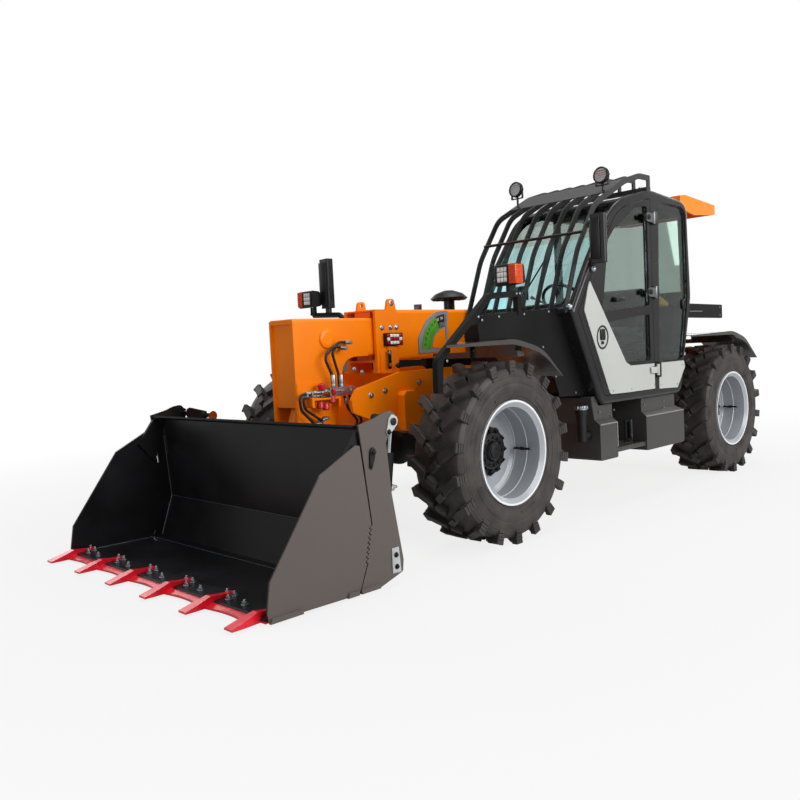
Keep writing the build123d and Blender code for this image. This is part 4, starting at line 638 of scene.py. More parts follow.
for x, z in ((-2.08, 0.742), (-2.08, 0.694), (-1.76, 0.742), (-1.3, 0.742), (-1.262, 0.7), (-1.1, 0.742)):
    bolt_in(strip, at(x, 1.062 if x > -1.5 else 1.058, z), (0, 1, 0), 0.012, False)
plated("step_strip_and_bolts", strip, "chassis")
# Pale rods along the boxes' shoulder edges, much lighter than the box paint: a painted highlight where the
# bent lips catch the light.
lips = bmesh.new()
for x0, x1 in ((-1.284, -1.05), (-2.345, -1.722)):
    rod_in(lips, at(x0, 1.0975, 0.6525), at(x1, 1.0975, 0.6525), 0.005, sides=12)
lip_painted_highlight = surfaced("lip_enamel_painted_highlight", "#8a8988", "#7d7c7b", 0.3, 60, 2, 0.05)
finished("box_lips", lips, "chassis", "black_frame", lip_painted_highlight)
cap = bmesh.new()
NECK = (-0.96, 1.0)
spun_in(cap, [(0.0, 0.0), (0.0, 0.047), (0.012, 0.047), (0.016, 0.043), (0.026, 0.041), (0.03, 0.03),
              (0.03, 0.0)],
        at(*NECK, 0.771), (0, 0, 1), 40)
for spoke in spokes(6, "y"):
    rod_in(cap, at(*NECK, 0.776) + spoke * 0.044, at(*NECK, 0.799) + spoke * 0.04, 0.006, sides=10)
plated("filler_cap", cap, "chassis")
clips = bmesh.new()
for z in (0.735,):
    ring_in(clips, [(0.0, 0.0365), (0.0, 0.0395), (0.012, 0.0395), (0.012, 0.0365)], at(*NECK, z),
            (0, 0, 1), 32)
plated("hose_clips", clips, "chassis")


# ---------------------------------------------------------------- cab frame, panels and glass
# Pressed and tubular steel cab in charcoal enamel, with bonded tinted safety glass. Two pale
# grey steel panels are screwed to its left side; the glass has a printed black edge.
cab_paint = surfaced("charcoal_cab_enamel", "#1a1819", "#211f20", 0.26, 300, 3, 0.1, gloss=0.35, coat=0.15)
clad(cab_paint, "cab_frame", "door_frame")
pale_panel = surfaced("pale_grey_panel_enamel", "#babcb8", "#b3b5b1", 0.35, 500, 3, 0.08)
clad(pale_panel, "door_panel", "side_panel")

# The windscreen is a paler, bluer pane than the sides, and the rear quarter panes are deeper.
WINDSCREEN_FROM, QUARTER_TO = FRONT_AXLE_X - 1.16, FRONT_AXLE_X - 1.89
tinted = bpy.data.materials.new("tinted_safety_glass")
tinted.use_nodes = True
tree = tinted.node_tree
tree.nodes.clear()
place = add_node(tree, "ShaderNodeTexCoord", {})
parts = add_node(tree, "ShaderNodeSeparateXYZ", {0: place.outputs["Object"]})
front = add_node(tree, "ShaderNodeMath", {0: parts.outputs["X"], 1: WINDSCREEN_FROM},
                 operation="GREATER_THAN")
rear = add_node(tree, "ShaderNodeMath", {0: parts.outputs["X"], 1: QUARTER_TO}, operation="LESS_THAN")
side_tint = add_node(tree, "ShaderNodeMix", {0: rear.outputs[0], 6: linear("#cad3cf"), 7: linear("#aebbb5")},
                     data_type="RGBA")
tint = add_node(tree, "ShaderNodeMix", {0: front.outputs[0], 6: side_tint.outputs[2], 7: linear("#d4f7fb")},
                data_type="RGBA")
pane = add_node(tree, "ShaderNodeBsdfPrincipled",
                {"Base Color": tint.outputs[2], "Roughness": 0.02, "IOR": 1.45, "Transmission Weight": 1.0,
                 "Specular IOR Level": 0.4})
add_node(tree, "ShaderNodeOutputMaterial", {"Surface": pane.outputs[0]})
clad(tinted, "cab_glass", "door_glass")

# Printed edge round the side panes, on their inner faces. Only its outline is made: a new face has
# no normal, so the inset gets no width. With face.normal_update() first it would be a full border.
edge_print = surfaced("black_ceramic_print", "#0a0a0b", "#0c0c0d", 0.3, 200, 2, 0.01)


def rim_in(shape, corners, width, y, depth):
    """The rim of an (x, z) outline, pushed through by depth; width has no effect yet."""
    face = shape.faces.new([shape.verts.new(at(x, y, z)) for x, z in corners])
    bmesh.ops.inset_region(shape, faces=[face], thickness=width, use_even_offset=True, use_boundary=True)
    bmesh.ops.delete(shape, geom=[face], context="FACES")
    ring = [f for f in shape.faces if abs(f.calc_center_median().y - y) < 0.001]
    grown = bmesh.ops.extrude_face_region(shape, geom=ring)["geom"]
    bmesh.ops.translate(shape, vec=(0, depth, 0),
                        verts=[g for g in grown if isinstance(g, bmesh.types.BMVert)])


GLASS_IN = 1.0755
band = bmesh.new()
rim_in(band, [(-2.008, 2.335), (-1.962, 1.078), (-2.362, 1.078), (-2.41, 1.12), (-2.475, 1.6), (-2.468, 2.26),
              (-2.43, 2.322)], 0.022, GLASS_IN, -0.0008)
finished("side_glass_edge", band, "chassis", "glass", edge_print)
band = bmesh.new()
rim_in(band, [(-1.82, 1.526), (-1.82, 2.284), (-1.72, 2.272), (-1.6, 2.24), (-1.46, 2.165), (-1.34, 2.075),
              (-1.242, 1.98), (-1.16, 1.62), (-1.135, 1.473)], 0.022, GLASS_IN, -0.0008)
finished("door_glass_edge", band, "door", "glass", edge_print)

# Rubber seal in the gap behind the door.
seal = bmesh.new()
block_in(seal, at(-1.884, 1.086, 0.865), at(-1.876, 1.094, 2.38), 0.002, 1)
finished("door_seal", seal, "chassis", "plastic", rubber)

# ---------------------------------------------------------------- door furniture
# Zinc hinge leaves with black moulded clamps through the glass, a recessed black handle in the
# pale panel, an inner latch, and a round lock in the rear side window.
hinge_metal = surfaced("grey_painted_hinge", "#77797b", "#6b6d6f", 0.3, 60, 2, 0.06, Metallic=0.6)
leaves = bmesh.new()
for z in (2.2, 1.62):
    plate_in(leaves, [at(-1.905, 1.113, z + 0.038), at(-1.9, 1.113, z - 0.038), at(-1.8, 1.113, z - 0.034),
                      at(-1.765, 1.113, z - 0.012), at(-1.765, 1.113, z + 0.014), at(-1.8, 1.113, z + 0.036)],
             (0, 0.008, 0), 0.003)
    rod_in(leaves, at(-1.9, 1.116, z - 0.048), at(-1.9, 1.116, z + 0.048), 0.0135, edge=0.002)
finished("door_hinge_leaves", leaves, "door", "chrome_rod", hinge_metal)
low_leaf = bmesh.new()
block_in(low_leaf, at(-1.9, 1.113, 0.985), at(-1.79, 1.12, 1.035), 0.003)
rod_in(low_leaf, at(-1.9, 1.116, 0.965), at(-1.9, 1.116, 1.055), 0.0135, edge=0.002)
finished("door_low_hinge", low_leaf, "door", "panel_grey", pale_panel)
clamps = bmesh.new()
for z in (2.2, 1.62):
    for x in (-1.812, -1.765):
        rod_in(clamps, at(x, 1.12, z + 0.002), at(x, 1.132, z + 0.002), 0.021, edge=0.004)
        rod_in(clamps, at(x, 1.131, z + 0.002), at(x, 1.135, z + 0.002), 0.008, sides=6)
    block_in(clamps, at(-1.945, 1.1, z - 0.05), at(-1.903, 1.126, z + 0.05), 0.005)
block_in(clamps, at(-1.94, 1.106, 0.95), at(-1.908, 1.127, 1.07), 0.004)
finished("door_hinge_clamps", clamps, "chassis", "plastic", black_plastic)

handle = bmesh.new()
HANDLE = at(-1.11, 1.105, 1.287)
spun_in(handle, [(-0.004, 0.0), (-0.004, 0.07), (0.004, 0.076), (0.006, 0.083), (0.002, 0.088),
                 (-0.002, 0.088)],
        (0, 0, 0), (0, 1, 0), 48)
bmesh.ops.scale(handle, vec=(0.88, 1.0, 1.0), verts=handle.verts)
bmesh.ops.rotate(handle, verts=handle.verts, cent=(0, 0, 0), matrix=Matrix.Rotation(math.radians(-12), 3,
        "Y"))
bmesh.ops.translate(handle, vec=HANDLE, verts=handle.verts)
block_in(handle, HANDLE + Vector((-0.03, 0.0, -0.02)), HANDLE + Vector((0.035, 0.012, 0.06)), 0.008)
rod_in(handle, HANDLE + Vector((0.01, 0.0, -0.04)), HANDLE + Vector((0.01, 0.012, -0.04)), 0.012, edge=0.002)
finished("door_handle", handle, "door", "plastic", black_plastic)
latch = bmesh.new()
block_in(latch, at(-1.45, 1.085, 1.55), at(-1.36, 1.104, 1.578), 0.008)
rod_in(latch, at(-1.335, 1.084, 1.562), at(-1.335, 1.108, 1.562), 0.02, edge=0.005)
finished("door_glass_latch", latch, "door", "plastic", black_plastic)
lock = bmesh.new()
spun_in(lock, [(0.0, 0.0), (0.0, 0.036), (0.009, 0.036), (0.014, 0.03), (0.014, 0.02), (0.009, 0.016),
               (0.009, 0.0)],
        at(-2.425, 1.083, 1.53), (0, 1, 0), 32)
bmesh.ops.scale(lock, vec=(0.8, 1.0, 1.25), verts=lock.verts,
                space=Matrix.Translation(-at(-2.425, 1.083, 1.53)))
finished("side_glass_lock", lock, "chassis", "plastic", black_plastic)
screws = bmesh.new()
for x, z in ((-1.86, 1.04), (-1.86, 0.89), (-1.5, 0.885), (-1.235, 0.89)):
    screw_in(screws, at(x, 1.104, z), (0, 1, 0), 0.006)
plated("door_panel_screws", screws, "door")
screws = bmesh.new()
for x, z in ((-2.34, 1.03), (-2.24, 0.875), (-1.96, 0.885), (-1.96, 1.04)):
    screw_in(screws, at(x, 1.104, z), (0, 1, 0), 0.006)
plated("side_panel_screws", screws, "chassis")

# ---------------------------------------------------------------- cab inside
# Grained black trim, a dark headlining, a padded seat in woven cloth, a moulded wheel, and the
# levers and console that stand beside the seat.
trim = surfaced("grained_cab_trim", "#08090a", "#0c0d0e", 0.6, 80, 1.2, 0.2, gloss=0.1)
clad(trim, "dashboard")
clad(black_plastic, "steering_wheel")
inside = bmesh.new()
block_in(inside, at(-2.4, 0.236, 0.86), at(-1.15, 0.262, 1.52), 0.01)
block_in(inside, at(-2.46, 0.3, 0.9), at(-2.42, 0.98, 1.56), 0.01)
block_in(inside, at(-2.3, 0.262, 0.86), at(-1.35, 0.4, 1.18), 0.03)
block_in(inside, at(-1.95, 0.28, 1.18), at(-1.5, 0.385, 1.36), 0.02)
block_in(inside, at(-2.05, 0.25, 2.285), at(-1.56, 1.03, 2.3), 0.004)
block_in(inside, at(-2.35, 0.9, 0.86), at(-1.95, 1.045, 1.12), 0.02)
rod_in(inside, at(-1.16, 0.9, 0.86), at(-1.2, 0.9, 1.12), 0.02, edge=0.003)
finished("cab_trim", inside, "chassis", "plastic", trim)
levers = bmesh.new()
rod_in(levers, at(-1.62, 0.33, 1.36), at(-1.58, 0.335, 1.5), 0.009, edge=0.001)
rod_in(levers, at(-1.58, 0.335, 1.49), at(-1.57, 0.337, 1.58), 0.022, 0.026, edge=0.007)
rod_in(levers, at(-1.22, 0.56, 1.56), at(-1.24, 0.42, 1.62), 0.007, edge=0.001)
rod_in(levers, at(-1.24, 0.42, 1.62), at(-1.243, 0.395, 1.63), 0.013, edge=0.004)
for y in (0.55, 0.68, 0.78):
    block_in(levers, at(-1.28, y, 0.9), at(-1.21, y + 0.07, 0.92), 0.006)
    rod_in(levers, at(-1.22, y + 0.035, 0.9), at(-1.18, y + 0.035, 0.86), 0.01)
finished("levers_and_pedals", levers, "chassis", "plastic", black_plastic)
display = bmesh.new()
block_in(display, at(-1.07, 0.36, 1.6), at(-1.05, 0.5, 1.71), 0.006)
rod_in(display, at(-1.05, 0.43, 1.5), at(-1.055, 0.43, 1.62), 0.01)
finished("display", display, "chassis", "plastic", black_plastic)
yellow = surfaced("yellow_moulded_plastic", "#e0a21a", "#d49614", 0.4, 60, 2, 0.1)
box = bmesh.new()
plate_in(box, [at(-2.0, 1.06, 1.605), at(-2.08, 1.06, 1.6), at(-2.21, 1.06, 1.545), at(-2.21, 1.06, 1.515),
               at(-2.0, 1.06, 1.53)], (0, -0.06, 0), 0.006)
finished("first_aid_box", box, "chassis", "plastic", yellow)

seat_cloth = surfaced("woven_seat_cloth", "#1b1c20", "#232529", 0.85, 12, 1.2, 0.5, gloss=0.2,
                      **{"Sheen Weight": 0.3})


def cushion(name, low, high, crown, lean=0.0):
    """A crowned cushion between two corners: remeshed, and blown up a little as cloth."""
    shape = bmesh.new()
    block_in(shape, (0, 0, 0), tuple(Vector(high) - Vector(low)), 0.02, 3)
    middle = (Vector(high) - Vector(low)) / 2
    bmesh.ops.rotate(shape, verts=shape.verts, cent=middle,
                     matrix=Matrix.Rotation(math.radians(lean), 3, "Y"))
    bmesh.ops.translate(shape, vec=Vector(low), verts=shape.verts)
    made = finished(name, shape, "chassis", "seat_fabric", seat_cloth, crease=180)
    made.parent = None
    remesh = made.modifiers.new("even_mesh", "REMESH")
    remesh.mode, remesh.voxel_size = "VOXEL", 0.007
    swell = made.modifiers.new("swell", "CLOTH")
    swell.settings.use_pressure = True
    swell.settings.uniform_pressure_force = crown
    swell.settings.effector_weights.gravity = 0.0
    swell.settings.quality = 4
    swell.point_cache.frame_end = 20
    for number in range(1, 13):
        bpy.context.scene.frame_set(number)
    held = bpy.context.evaluated_depsgraph_get()
    blown = bpy.data.meshes.new_from_object(made.evaluated_get(held))
    made.modifiers.clear()
    made.data = blown
    made.data.materials.clear()
    made.data.materials.append(seat_cloth)
    # How far a point may lie outside the upright block: 30 mm, and 4 mm more for a degree of lean.
    cap = 0.03 + abs(lean) * 0.004
    for vert in made.data.vertices:
        for axis in range(3):
            vert.co[axis] = min(max(vert.co[axis], low[axis] - cap), high[axis] + cap)
    made.data.shade_smooth()
    bpy.context.scene.frame_set(1)
    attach(made, "chassis")
    return made


squab = cushion("seat_squab", at(-2.15, 0.425, 1.245), at(-1.72, 0.865, 1.335), 4.0)
back = cushion("seat_back", at(-2.235, 0.445, 1.345), at(-2.125, 0.845, 1.68), 4.0, -17.0)
base = bmesh.new()
block_in(base, at(-2.12, 0.47, 0.842), at(-1.76, 0.82, 1.1), 0.02)
for i in range(6):
    block_in(base, at(-2.11, 0.48, 1.1 + 0.02 * i), at(-1.77, 0.81, 1.113 + 0.02 * i), 0.004)
block_in(base, at(-2.17, 0.43, 1.222), at(-1.72, 0.86, 1.246), 0.01)
seat_base = finished("seat_base", base, "chassis", "plastic", black_plastic)
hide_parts("seat")


# ---------------------------------------------------------------- roof guard, visor and roof lamps
# Falling-object guard of flat steel bars bent over the windscreen, in dark grey enamel; the
# visor behind the roof is orange; the lamps have chrome reflectors.
guard_paint = surfaced("dark_grey_guard_enamel", "#262526", "#2c2b2c", 0.3, 300, 3, 0.1, gloss=0.45,
                       coat=0.15)
clad(guard_paint, "roof_guard")
clad(orange_enamel, "roof_visor")
lamp_black = surfaced("black_lamp_housing", "#101012", "#151517", 0.36, 60, 1.5, 0.1, gloss=0.35)
clad(lamp_black, "lamps")
chrome = surfaced("chromed_reflector", "#cfd3d6", "#c2c6c9", 0.2, 100, 5, 0.02, Metallic=1.0)

bolts = bmesh.new()
for y in (0.174, 0.302, 0.43, 0.557, 0.685, 0.813, 0.94, 1.05):
    rod_in(bolts, at(-0.716, y, 1.49), at(-0.708, y, 1.494), 0.008, sides=12, edge=0.001)
for y in (0.24, 0.995):
    for x in (-1.95, -1.92):
        bolt_in(bolts, at(x, y, 2.452), (0, 0, 1), 0.016)
plated("guard_bolts", bolts, "chassis")

ROOF_LAMPS = [(0.215, 2.517), (1.0, 2.49)]
for number, (y, z) in enumerate(ROOF_LAMPS):
    centre = at(-1.33, y, z)
    back = Vector((-1, 0, -0.12)).normalized()
    ring = bmesh.new()
    ring_in(ring, [(0.002, 0.062), (-0.006, 0.0615), (-0.009, 0.057), (-0.008, 0.052), (-0.003, 0.05)],
            centre, back, 48)
    finished(f"roof_lamp_ring_{number}", ring, "chassis", "lamp", lamp_black)
    bowl = bmesh.new()
    ring_in(bowl, [(-0.0015, 0.05), (-0.002, 0.0), (-0.0005, 0.0), (-0.0005, 0.05)], centre, back, 40)
    for i in range(5):
        up = -0.034 + 0.017 * i
        half = math.sqrt(0.047 ** 2 - up ** 2)
        start = centre - back * 0.004 + Vector((0, -half, up))
        rod_in(bowl, start, start + Vector((0, 2 * half, 0)), 0.003, sides=8)
    finished(f"roof_lamp_reflector_{number}", bowl, "chassis", "lamp", chrome)
    yoke = bmesh.new()
    for side in (1, -1):
        block_in(yoke, centre + Vector((-0.032, side * 0.052 - 0.004, -0.07)),
                 centre + Vector((-0.012, side * 0.052 + 0.004, 0.004)), 0.0015, 1)
        bolt_in(yoke, centre + Vector((-0.022, side * 0.056, -0.004)), (0, side, 0), 0.012, False)
    block_in(yoke, centre + Vector((-0.032, -0.056, -0.076)), centre + Vector((-0.012, 0.056, -0.068)),
             0.0015, 1)
    finished(f"roof_lamp_yoke_{number}", yoke, "chassis", "guard_grey", guard_paint)

# Dome lamp under the visor: a ribbed skirt and a dark lens.
dome = bmesh.new()
ring_in(dome, [(0.0, 0.0735), (0.004, 0.076), (0.02, 0.076), (0.024, 0.0735)], at(-2.95, 0.64, 2.385),
        (0, 0, -1), 48)
finished("dome_lamp_band", dome, "chassis", "lamp", lamp_black)
screws = bmesh.new()
for y in (0.32, 0.98):
    for x, z in ((-2.62, 2.453), (-2.98, 2.4248)):
        rod_in(screws, at(x, y, z - 0.004), at(x, y, z + 0.003), 0.009, sides=12, edge=0.001)
plated("visor_screws", screws, "chassis")

# Wiper on the windscreen: a pivot, an arm and a rubber blade.
wiper = bmesh.new()
foot = at(-0.86, 0.6, 1.6)
rod_in(wiper, foot, foot + Vector((0.02, 0, 0.012)), 0.018, edge=0.003)
rod_in(wiper, foot + Vector((0.016, 0, 0.01)), at(-0.985, 0.76, 1.93), 0.006, edge=0.001)
rod_in(wiper, at(-0.915, 0.745, 1.72), at(-1.08, 0.775, 2.12), 0.007, sides=8, edge=0.001)
finished("wiper", wiper, "chassis", "plastic", black_plastic)


# ---------------------------------------------------------------- cowl, lamp arms and head lamps
# Folded sheet cowl beside the boom in satin black with bent bars for the head lamps. Each lamp
# has a block of white diodes and a ribbed orange indicator on its outer side.
clad(surfaced("satin_black_cowl_paint", "#0d0b0b", "#110f0f", 0.32, 300, 3, 0.1, gloss=0.2),
     "cowl", "right_arm")
indicator = surfaced("orange_indicator_lens", "#e8501a", "#d94412", 0.25, 30, 4, 0.3)
indicator.node_tree.nodes["Principled BSDF"].inputs["Transmission Weight"].default_value = 0.15
diode = surfaced("white_diode_block", "#f4f5f2", "#e9ebea", 0.2, 15, 2, 0.1)

for name, inner, outer, side in (("left", 0.905, 1.075, 1), ("right", -1.013, -1.183, -1)):
    face_x = -0.146
    bezel = bmesh.new()
    low, high = sorted((inner + side * 0.008, inner + side * 0.112))
    for z in (1.664, 1.772):
        block_in(bezel, at(face_x, low, z), at(face_x + 0.008, high, z + 0.008), 0.002)
    for y in (low, high - 0.008):
        block_in(bezel, at(face_x, y, 1.664), at(face_x + 0.008, y + 0.008, 1.78), 0.002)
    finished(f"head_lamp_bezel_{name}", bezel, "chassis", "lamp", lamp_black)
    cells = bmesh.new()
    for row in range(3):
        for column in range(3):
            y0 = low + 0.012 + 0.0275 * column
            z0 = 1.675 + 0.0335 * row
            block_in(cells, at(face_x, y0, z0), at(face_x + 0.004, y0 + 0.024, z0 + 0.03), 0.002)
            rod_in(cells, at(face_x + 0.003, y0 + 0.012, z0 + 0.015),
                   at(face_x + 0.006, y0 + 0.012, z0 + 0.015), 0.008,
                   sides=12, edge=0.001)
    finished(f"head_lamp_diodes_{name}", cells, "chassis", "lamp", diode)
    amber = bmesh.new()
    low, high = sorted((inner + side * 0.118, outer + side * 0.006))
    block_in(amber, at(face_x - 0.07, low, 1.66), at(face_x + 0.009, high, 1.784), 0.004)
    for row in range(7):
        z0 = 1.668 + 0.0165 * row
        low_rib, high_rib = sorted((outer + side * 0.004, outer + side * 0.0085))
        block_in(amber, at(face_x - 0.066, low_rib, z0), at(face_x + 0.004, high_rib, z0 + 0.009), 0.001, 1)
        low_rib, high_rib = sorted((inner + side * 0.12, outer + side * 0.004))
        block_in(amber, at(face_x + 0.007, low_rib, z0), at(face_x + 0.0115, high_rib, z0 + 0.009), 0.001, 1)
    finished(f"indicator_{name}", amber, "chassis", "lamp", indicator)
    clamp = bmesh.new()
    middle = (inner + outer) / 2
    rod_in(clamp, at(-0.195, middle - side * 0.02, 1.6), at(-0.195, middle - side * 0.02, 1.652), 0.012,
           edge=0.002)
    bolt_in(clamp, at(-0.195, middle - side * 0.02, 1.6), (0, 0, -1), 0.022)
    finished(f"lamp_clamp_{name}", clamp, "chassis", "axle_black", black_paint)

# Fixings on the cowl, and a grommet.
fixings = bmesh.new()
for x, z in ((0.12, 1.43), (-0.05, 1.45), (-0.32, 1.465), (-0.6, 1.48)):
    screw_in(fixings, at(x, 1.0, z), (0, 1, 0))
for x, z in ((-0.52, 1.24), (-0.66, 1.03), (-0.9, 0.9)):
    screw_in(fixings, at(x, 1.0, z), (0, 1, 0))
for x, z in ((-0.24, 1.6), (-0.275, 1.6), (0.16, 1.45), (0.47, 1.19)):
    screw_in(fixings, at(x, 1.005, z), (0, 1, 0))
rod_in(fixings, at(-0.735, 0.998, 1.497), at(-0.724, 1.08, 1.505), 0.009, edge=0.001)
bmesh.ops.create_uvsphere(fixings, u_segments=24, v_segments=12, radius=0.022,
                          matrix=Matrix.Translation(at(-0.724, 1.088, 1.507)))
plated("cowl_fixings", fixings, "chassis")
grommets = bmesh.new()
spun_in(grommets, [(0.0, 0.018), (0.006, 0.022), (0.006, 0.034), (0.0, 0.038), (-0.003, 0.028)],
        at(-0.45, 0.7, 1.49),
        (0.04, 0, 1), 32)
finished("cowl_grommet", grommets, "chassis", "plastic", rubber)

# ---------------------------------------------------------------- mirrors and rear lamps
# Moulded black mirror heads with a glass at the back, on tubes with ball joints; the rear lamp
# arm is folded steel with a slot, and carries red lenses.
clad(black_plastic, "mirrors")
clad(black_paint, "rear_lamps")
mirror_glass = surfaced("silvered_mirror_glass", "#c9ced2", "#c1c7cb", 0.03, 200, 50, 0.005, Metallic=1.0)
panes = bmesh.new()
block_in(panes, at(-1.0125, 1.142, 1.83), at(-1.0095, 1.218, 2.13), 0.001, 1)
block_in(panes, at(-0.3165, -1.02, 1.665), at(-0.3145, -0.925, 2.02), 0.001, 1)
finished("mirror_panes", panes, "chassis", "chrome_rod", mirror_glass)
balls = bmesh.new()
for x, y, z in ((-1.0, 1.115, 1.772), (-1.0, 1.115, 2.122)):
    bmesh.ops.create_uvsphere(balls, u_segments=24, v_segments=12, radius=0.02,
                              matrix=Matrix.Translation(at(x, y, z)))
plated("mirror_balls", balls, "chassis")
cover = bmesh.new()
block_in(cover, at(-0.9435, 1.14, 1.835), at(-0.9365, 1.21, 2.125), 0.003)
block_in(cover, at(-0.247, -1.02, 1.67), at(-0.2415, -0.93, 2.015), 0.0025)
finished("mirror_cover_ribs", cover, "chassis", "plastic", black_plastic)
red_lens = surfaced("red_rear_lens", "#b30f16", "#9d0c12", 0.2, 30, 3, 0.3)
lenses = bmesh.new()
block_in(lenses, at(-3.228, 1.042, 1.425), at(-3.2195, 1.063, 1.515), 0.003)
block_in(lenses, at(-4.094, 0.52, 0.8), at(-4.088, 0.68, 0.9), 0.004)
block_in(lenses, at(-4.094, -0.68, 0.8), at(-4.088, -0.52, 0.9), 0.004)
finished("rear_lenses", lenses, "chassis", "lamp", red_lens)
slot = bmesh.new()
block_in(slot, at(-2.82, 1.0645, 1.468), at(-2.58, 1.0665, 1.476), 0.0006, 1)
for x, z in ((-3.17, 1.435), (-3.17, 1.505), (-2.52, 1.44), (-2.52, 1.515)):
    screw_in(slot, at(x, 1.065, z), (0, 1, 0))
plated("rear_arm_slot_and_screws", slot, "chassis")


# ---------------------------------------------------------------- outer boom
# Folded and welded steel box in orange enamel, with bolted pad strips at its collar, a black
# hose clamp strip, a knob, and lifting ears with pin bushes.
clad(orange_enamel, "outer_boom")
strip = bmesh.new()
PLATE_Y = 0.1933
block_in(strip, at(0.148, PLATE_Y - 0.0005, 1.14), at(0.176, PLATE_Y + 0.007, 1.268), 0.003)
finished("collar_strip", strip, "boom", "black_frame", black_paint)
bolts = bmesh.new()
for x, z in ((0.162, 1.25), (0.162, 1.168)):
    bolt_in(bolts, at(x, PLATE_Y + 0.007, z), (0, 1, 0), 0.016)
for x, z in ((0.191, 1.428), (0.108, 1.428), (0.05, 1.428)):
    bolt_in(bolts, at(x, 0.1622, z), (0, 1, 0), 0.022)
    bolt_in(bolts, at(x, -0.1622, z), (0, -1, 0), 0.022)
for x, z in ((0.05, 1.2), (0.05, 1.13)):
    bolt_in(bolts, at(x, -0.1622, z), (0, -1, 0), 0.022)
plated("collar_bolts", bolts, "boom")
knob = bmesh.new()
rod_in(knob, at(0.1, PLATE_Y, 1.161), at(0.1, PLATE_Y + 0.014, 1.161), 0.01, edge=0.001)
spun_in(knob, [(0.014, 0.0), (0.014, 0.017), (0.019, 0.02), (0.027, 0.02), (0.031, 0.015), (0.033, 0.0)],
        at(0.1, PLATE_Y, 1.161), (0, 1, 0), 32)
finished("collar_knob", knob, "boom", "plastic", black_plastic)
rings = bmesh.new()
for side in (1, -1):
    ring_in(rings, [(-0.006, 0.012), (-0.006, 0.021), (0.003, 0.021), (0.004, 0.019), (0.004, 0.012)],
            at(0.091, side * 0.162, 1.6), (0, side, 0), 32)
plated("ear_bushes", rings, "boom")

# Lamp on the collar: a black case with two rows of white and red cells.
LAMP_PLATE_TOP = 1.297


def lamp_plate_zone(tree, place):
    """1 on the painted plate below the collar lamp."""
    parts = add_node(tree, "ShaderNodeSeparateXYZ", {0: place})
    return add_node(tree, "ShaderNodeMath", {0: parts.outputs["Z"], 1: LAMP_PLATE_TOP},
                    operation="LESS_THAN").outputs[0]


clad(surfaced("black_lamp_on_orange_plate", "#101012", "#151517", 0.34, 60, 1.5, 0.1, lamp_plate_zone,
              "#ff8400", gloss=0.3), "boom_lamp")
white_cells, red_cells = bmesh.new(), bmesh.new()
for column in range(5):
    for row in range(3):
        x0 = 0.03 + 0.0295 * column
        z0 = 1.312 + 0.0245 * row
        cell = red_cells if (column in (0, 4)) != (row == 1) else white_cells
        block_in(cell, at(x0, 0.1925, z0), at(x0 + 0.026, 0.1965, z0 + 0.021), 0.0015)
finished("boom_lamp_white_cells", white_cells, "boom", "lamp", diode)
finished("boom_lamp_red_cells", red_cells, "boom", "lamp", red_lens)

# ---------------------------------------------------------------- angle dial
# A painted dial in a grey frame beside the boom: a green band, a black end and plain numbers.
dial_frame = surfaced("grey_dial_frame", "#8c8e8f", "#838587", 0.35, 100, 3, 0.05)
clad(dial_frame, "angle_scale")
dial_green = surfaced("green_dial_paint", "#58a82a", "#4f9c25", 0.35, 60, 3, 0.02)
dial_ink = surfaced("black_dial_ink", "#10120f", "#141613", 0.4, 60, 3, 0.01)
dial_white = surfaced("white_dial_ink", "#e8ece4", "#dfe3db", 0.4, 60, 3, 0.01)
CENTRE = (-0.47, 1.262)
DIAL_Y = 0.1606


def sector_in(shape, inner, outer, start, end, y, steps=24):
    """A flat ring sector on the dial, angles in degrees from the front, turning up."""
    for i in range(steps):
        corners = []
        for radius, share in ((inner, i), (outer, i), (outer, i + 1), (inner, i + 1)):
            turn = math.radians(start + (end - start) * share / steps)
            corners.append(shape.verts.new(at(CENTRE[0] + radius * math.cos(turn), y,
                                              CENTRE[1] + radius * math.sin(turn))))
        shape.faces.new(corners)


def stroke_in(shape, radius, turn, low, high, y):
    """One straight stroke of a digit: ends in (across, up) metres about a place on the dial."""
    turn = math.radians(turn)
    out, across = Vector((math.cos(turn), 0, math.sin(turn))), Vector((-math.sin(turn), 0, math.cos(turn)))
    middle = at(CENTRE[0], y, CENTRE[1]) + out * radius
    start, end = (middle + out * p[0] - across * p[1] for p in (low, high))
    along = (end - start).normalized()
    wide = along.cross(Vector((0, 1, 0))) * 0.0016
    shape.faces.new([shape.verts.new(p) for p in (start - wide, end - wide, end + wide, start + wide)])


# The seven strokes of a plain digit, 9 mm wide and 16 mm high.
STROKES = {"a": ((-0.0045, 0.008), (0.0045, 0.008)), "b": ((0.0045, 0.008), (0.0045, 0.0)),
           "c": ((0.0045, 0.0), (0.0045, -0.008)), "d": ((-0.0045, -0.008), (0.0045, -0.008)),
           "e": ((-0.0045, 0.0), (-0.0045, -0.008)), "f": ((-0.0045, 0.008), (-0.0045, 0.0)),
           "g": ((-0.0045, 0.0), (0.0045, 0.0))}
DIGITS = {0: "abcdef", 1: "bc", 2: "abged", 3: "abgcd", 4: "fgbc", 5: "afgcd", 6: "afgedc", 7: "abc",
          8: "abcdefg"}
green, ink, white = bmesh.new(), bmesh.new(), bmesh.new()
dial_orange = bmesh.new()
sector_in(dial_orange, 0.03, 0.152, 4, 86, DIAL_Y - 0.0001)
finished("dial_orange_field", dial_orange, "boom", "orange", orange_enamel)
sector_in(green, 0.165, 0.256, 0, 66, DIAL_Y)
sector_in(ink, 0.165, 0.256, 66, 88, DIAL_Y, 8)
for i in range(45):
    sector_in(white if i > 34 else ink, 0.171 if i % 5 else 0.165, 0.2, i * 2 - 0.18, i * 2 + 0.18,
              DIAL_Y + 0.0003, 1)
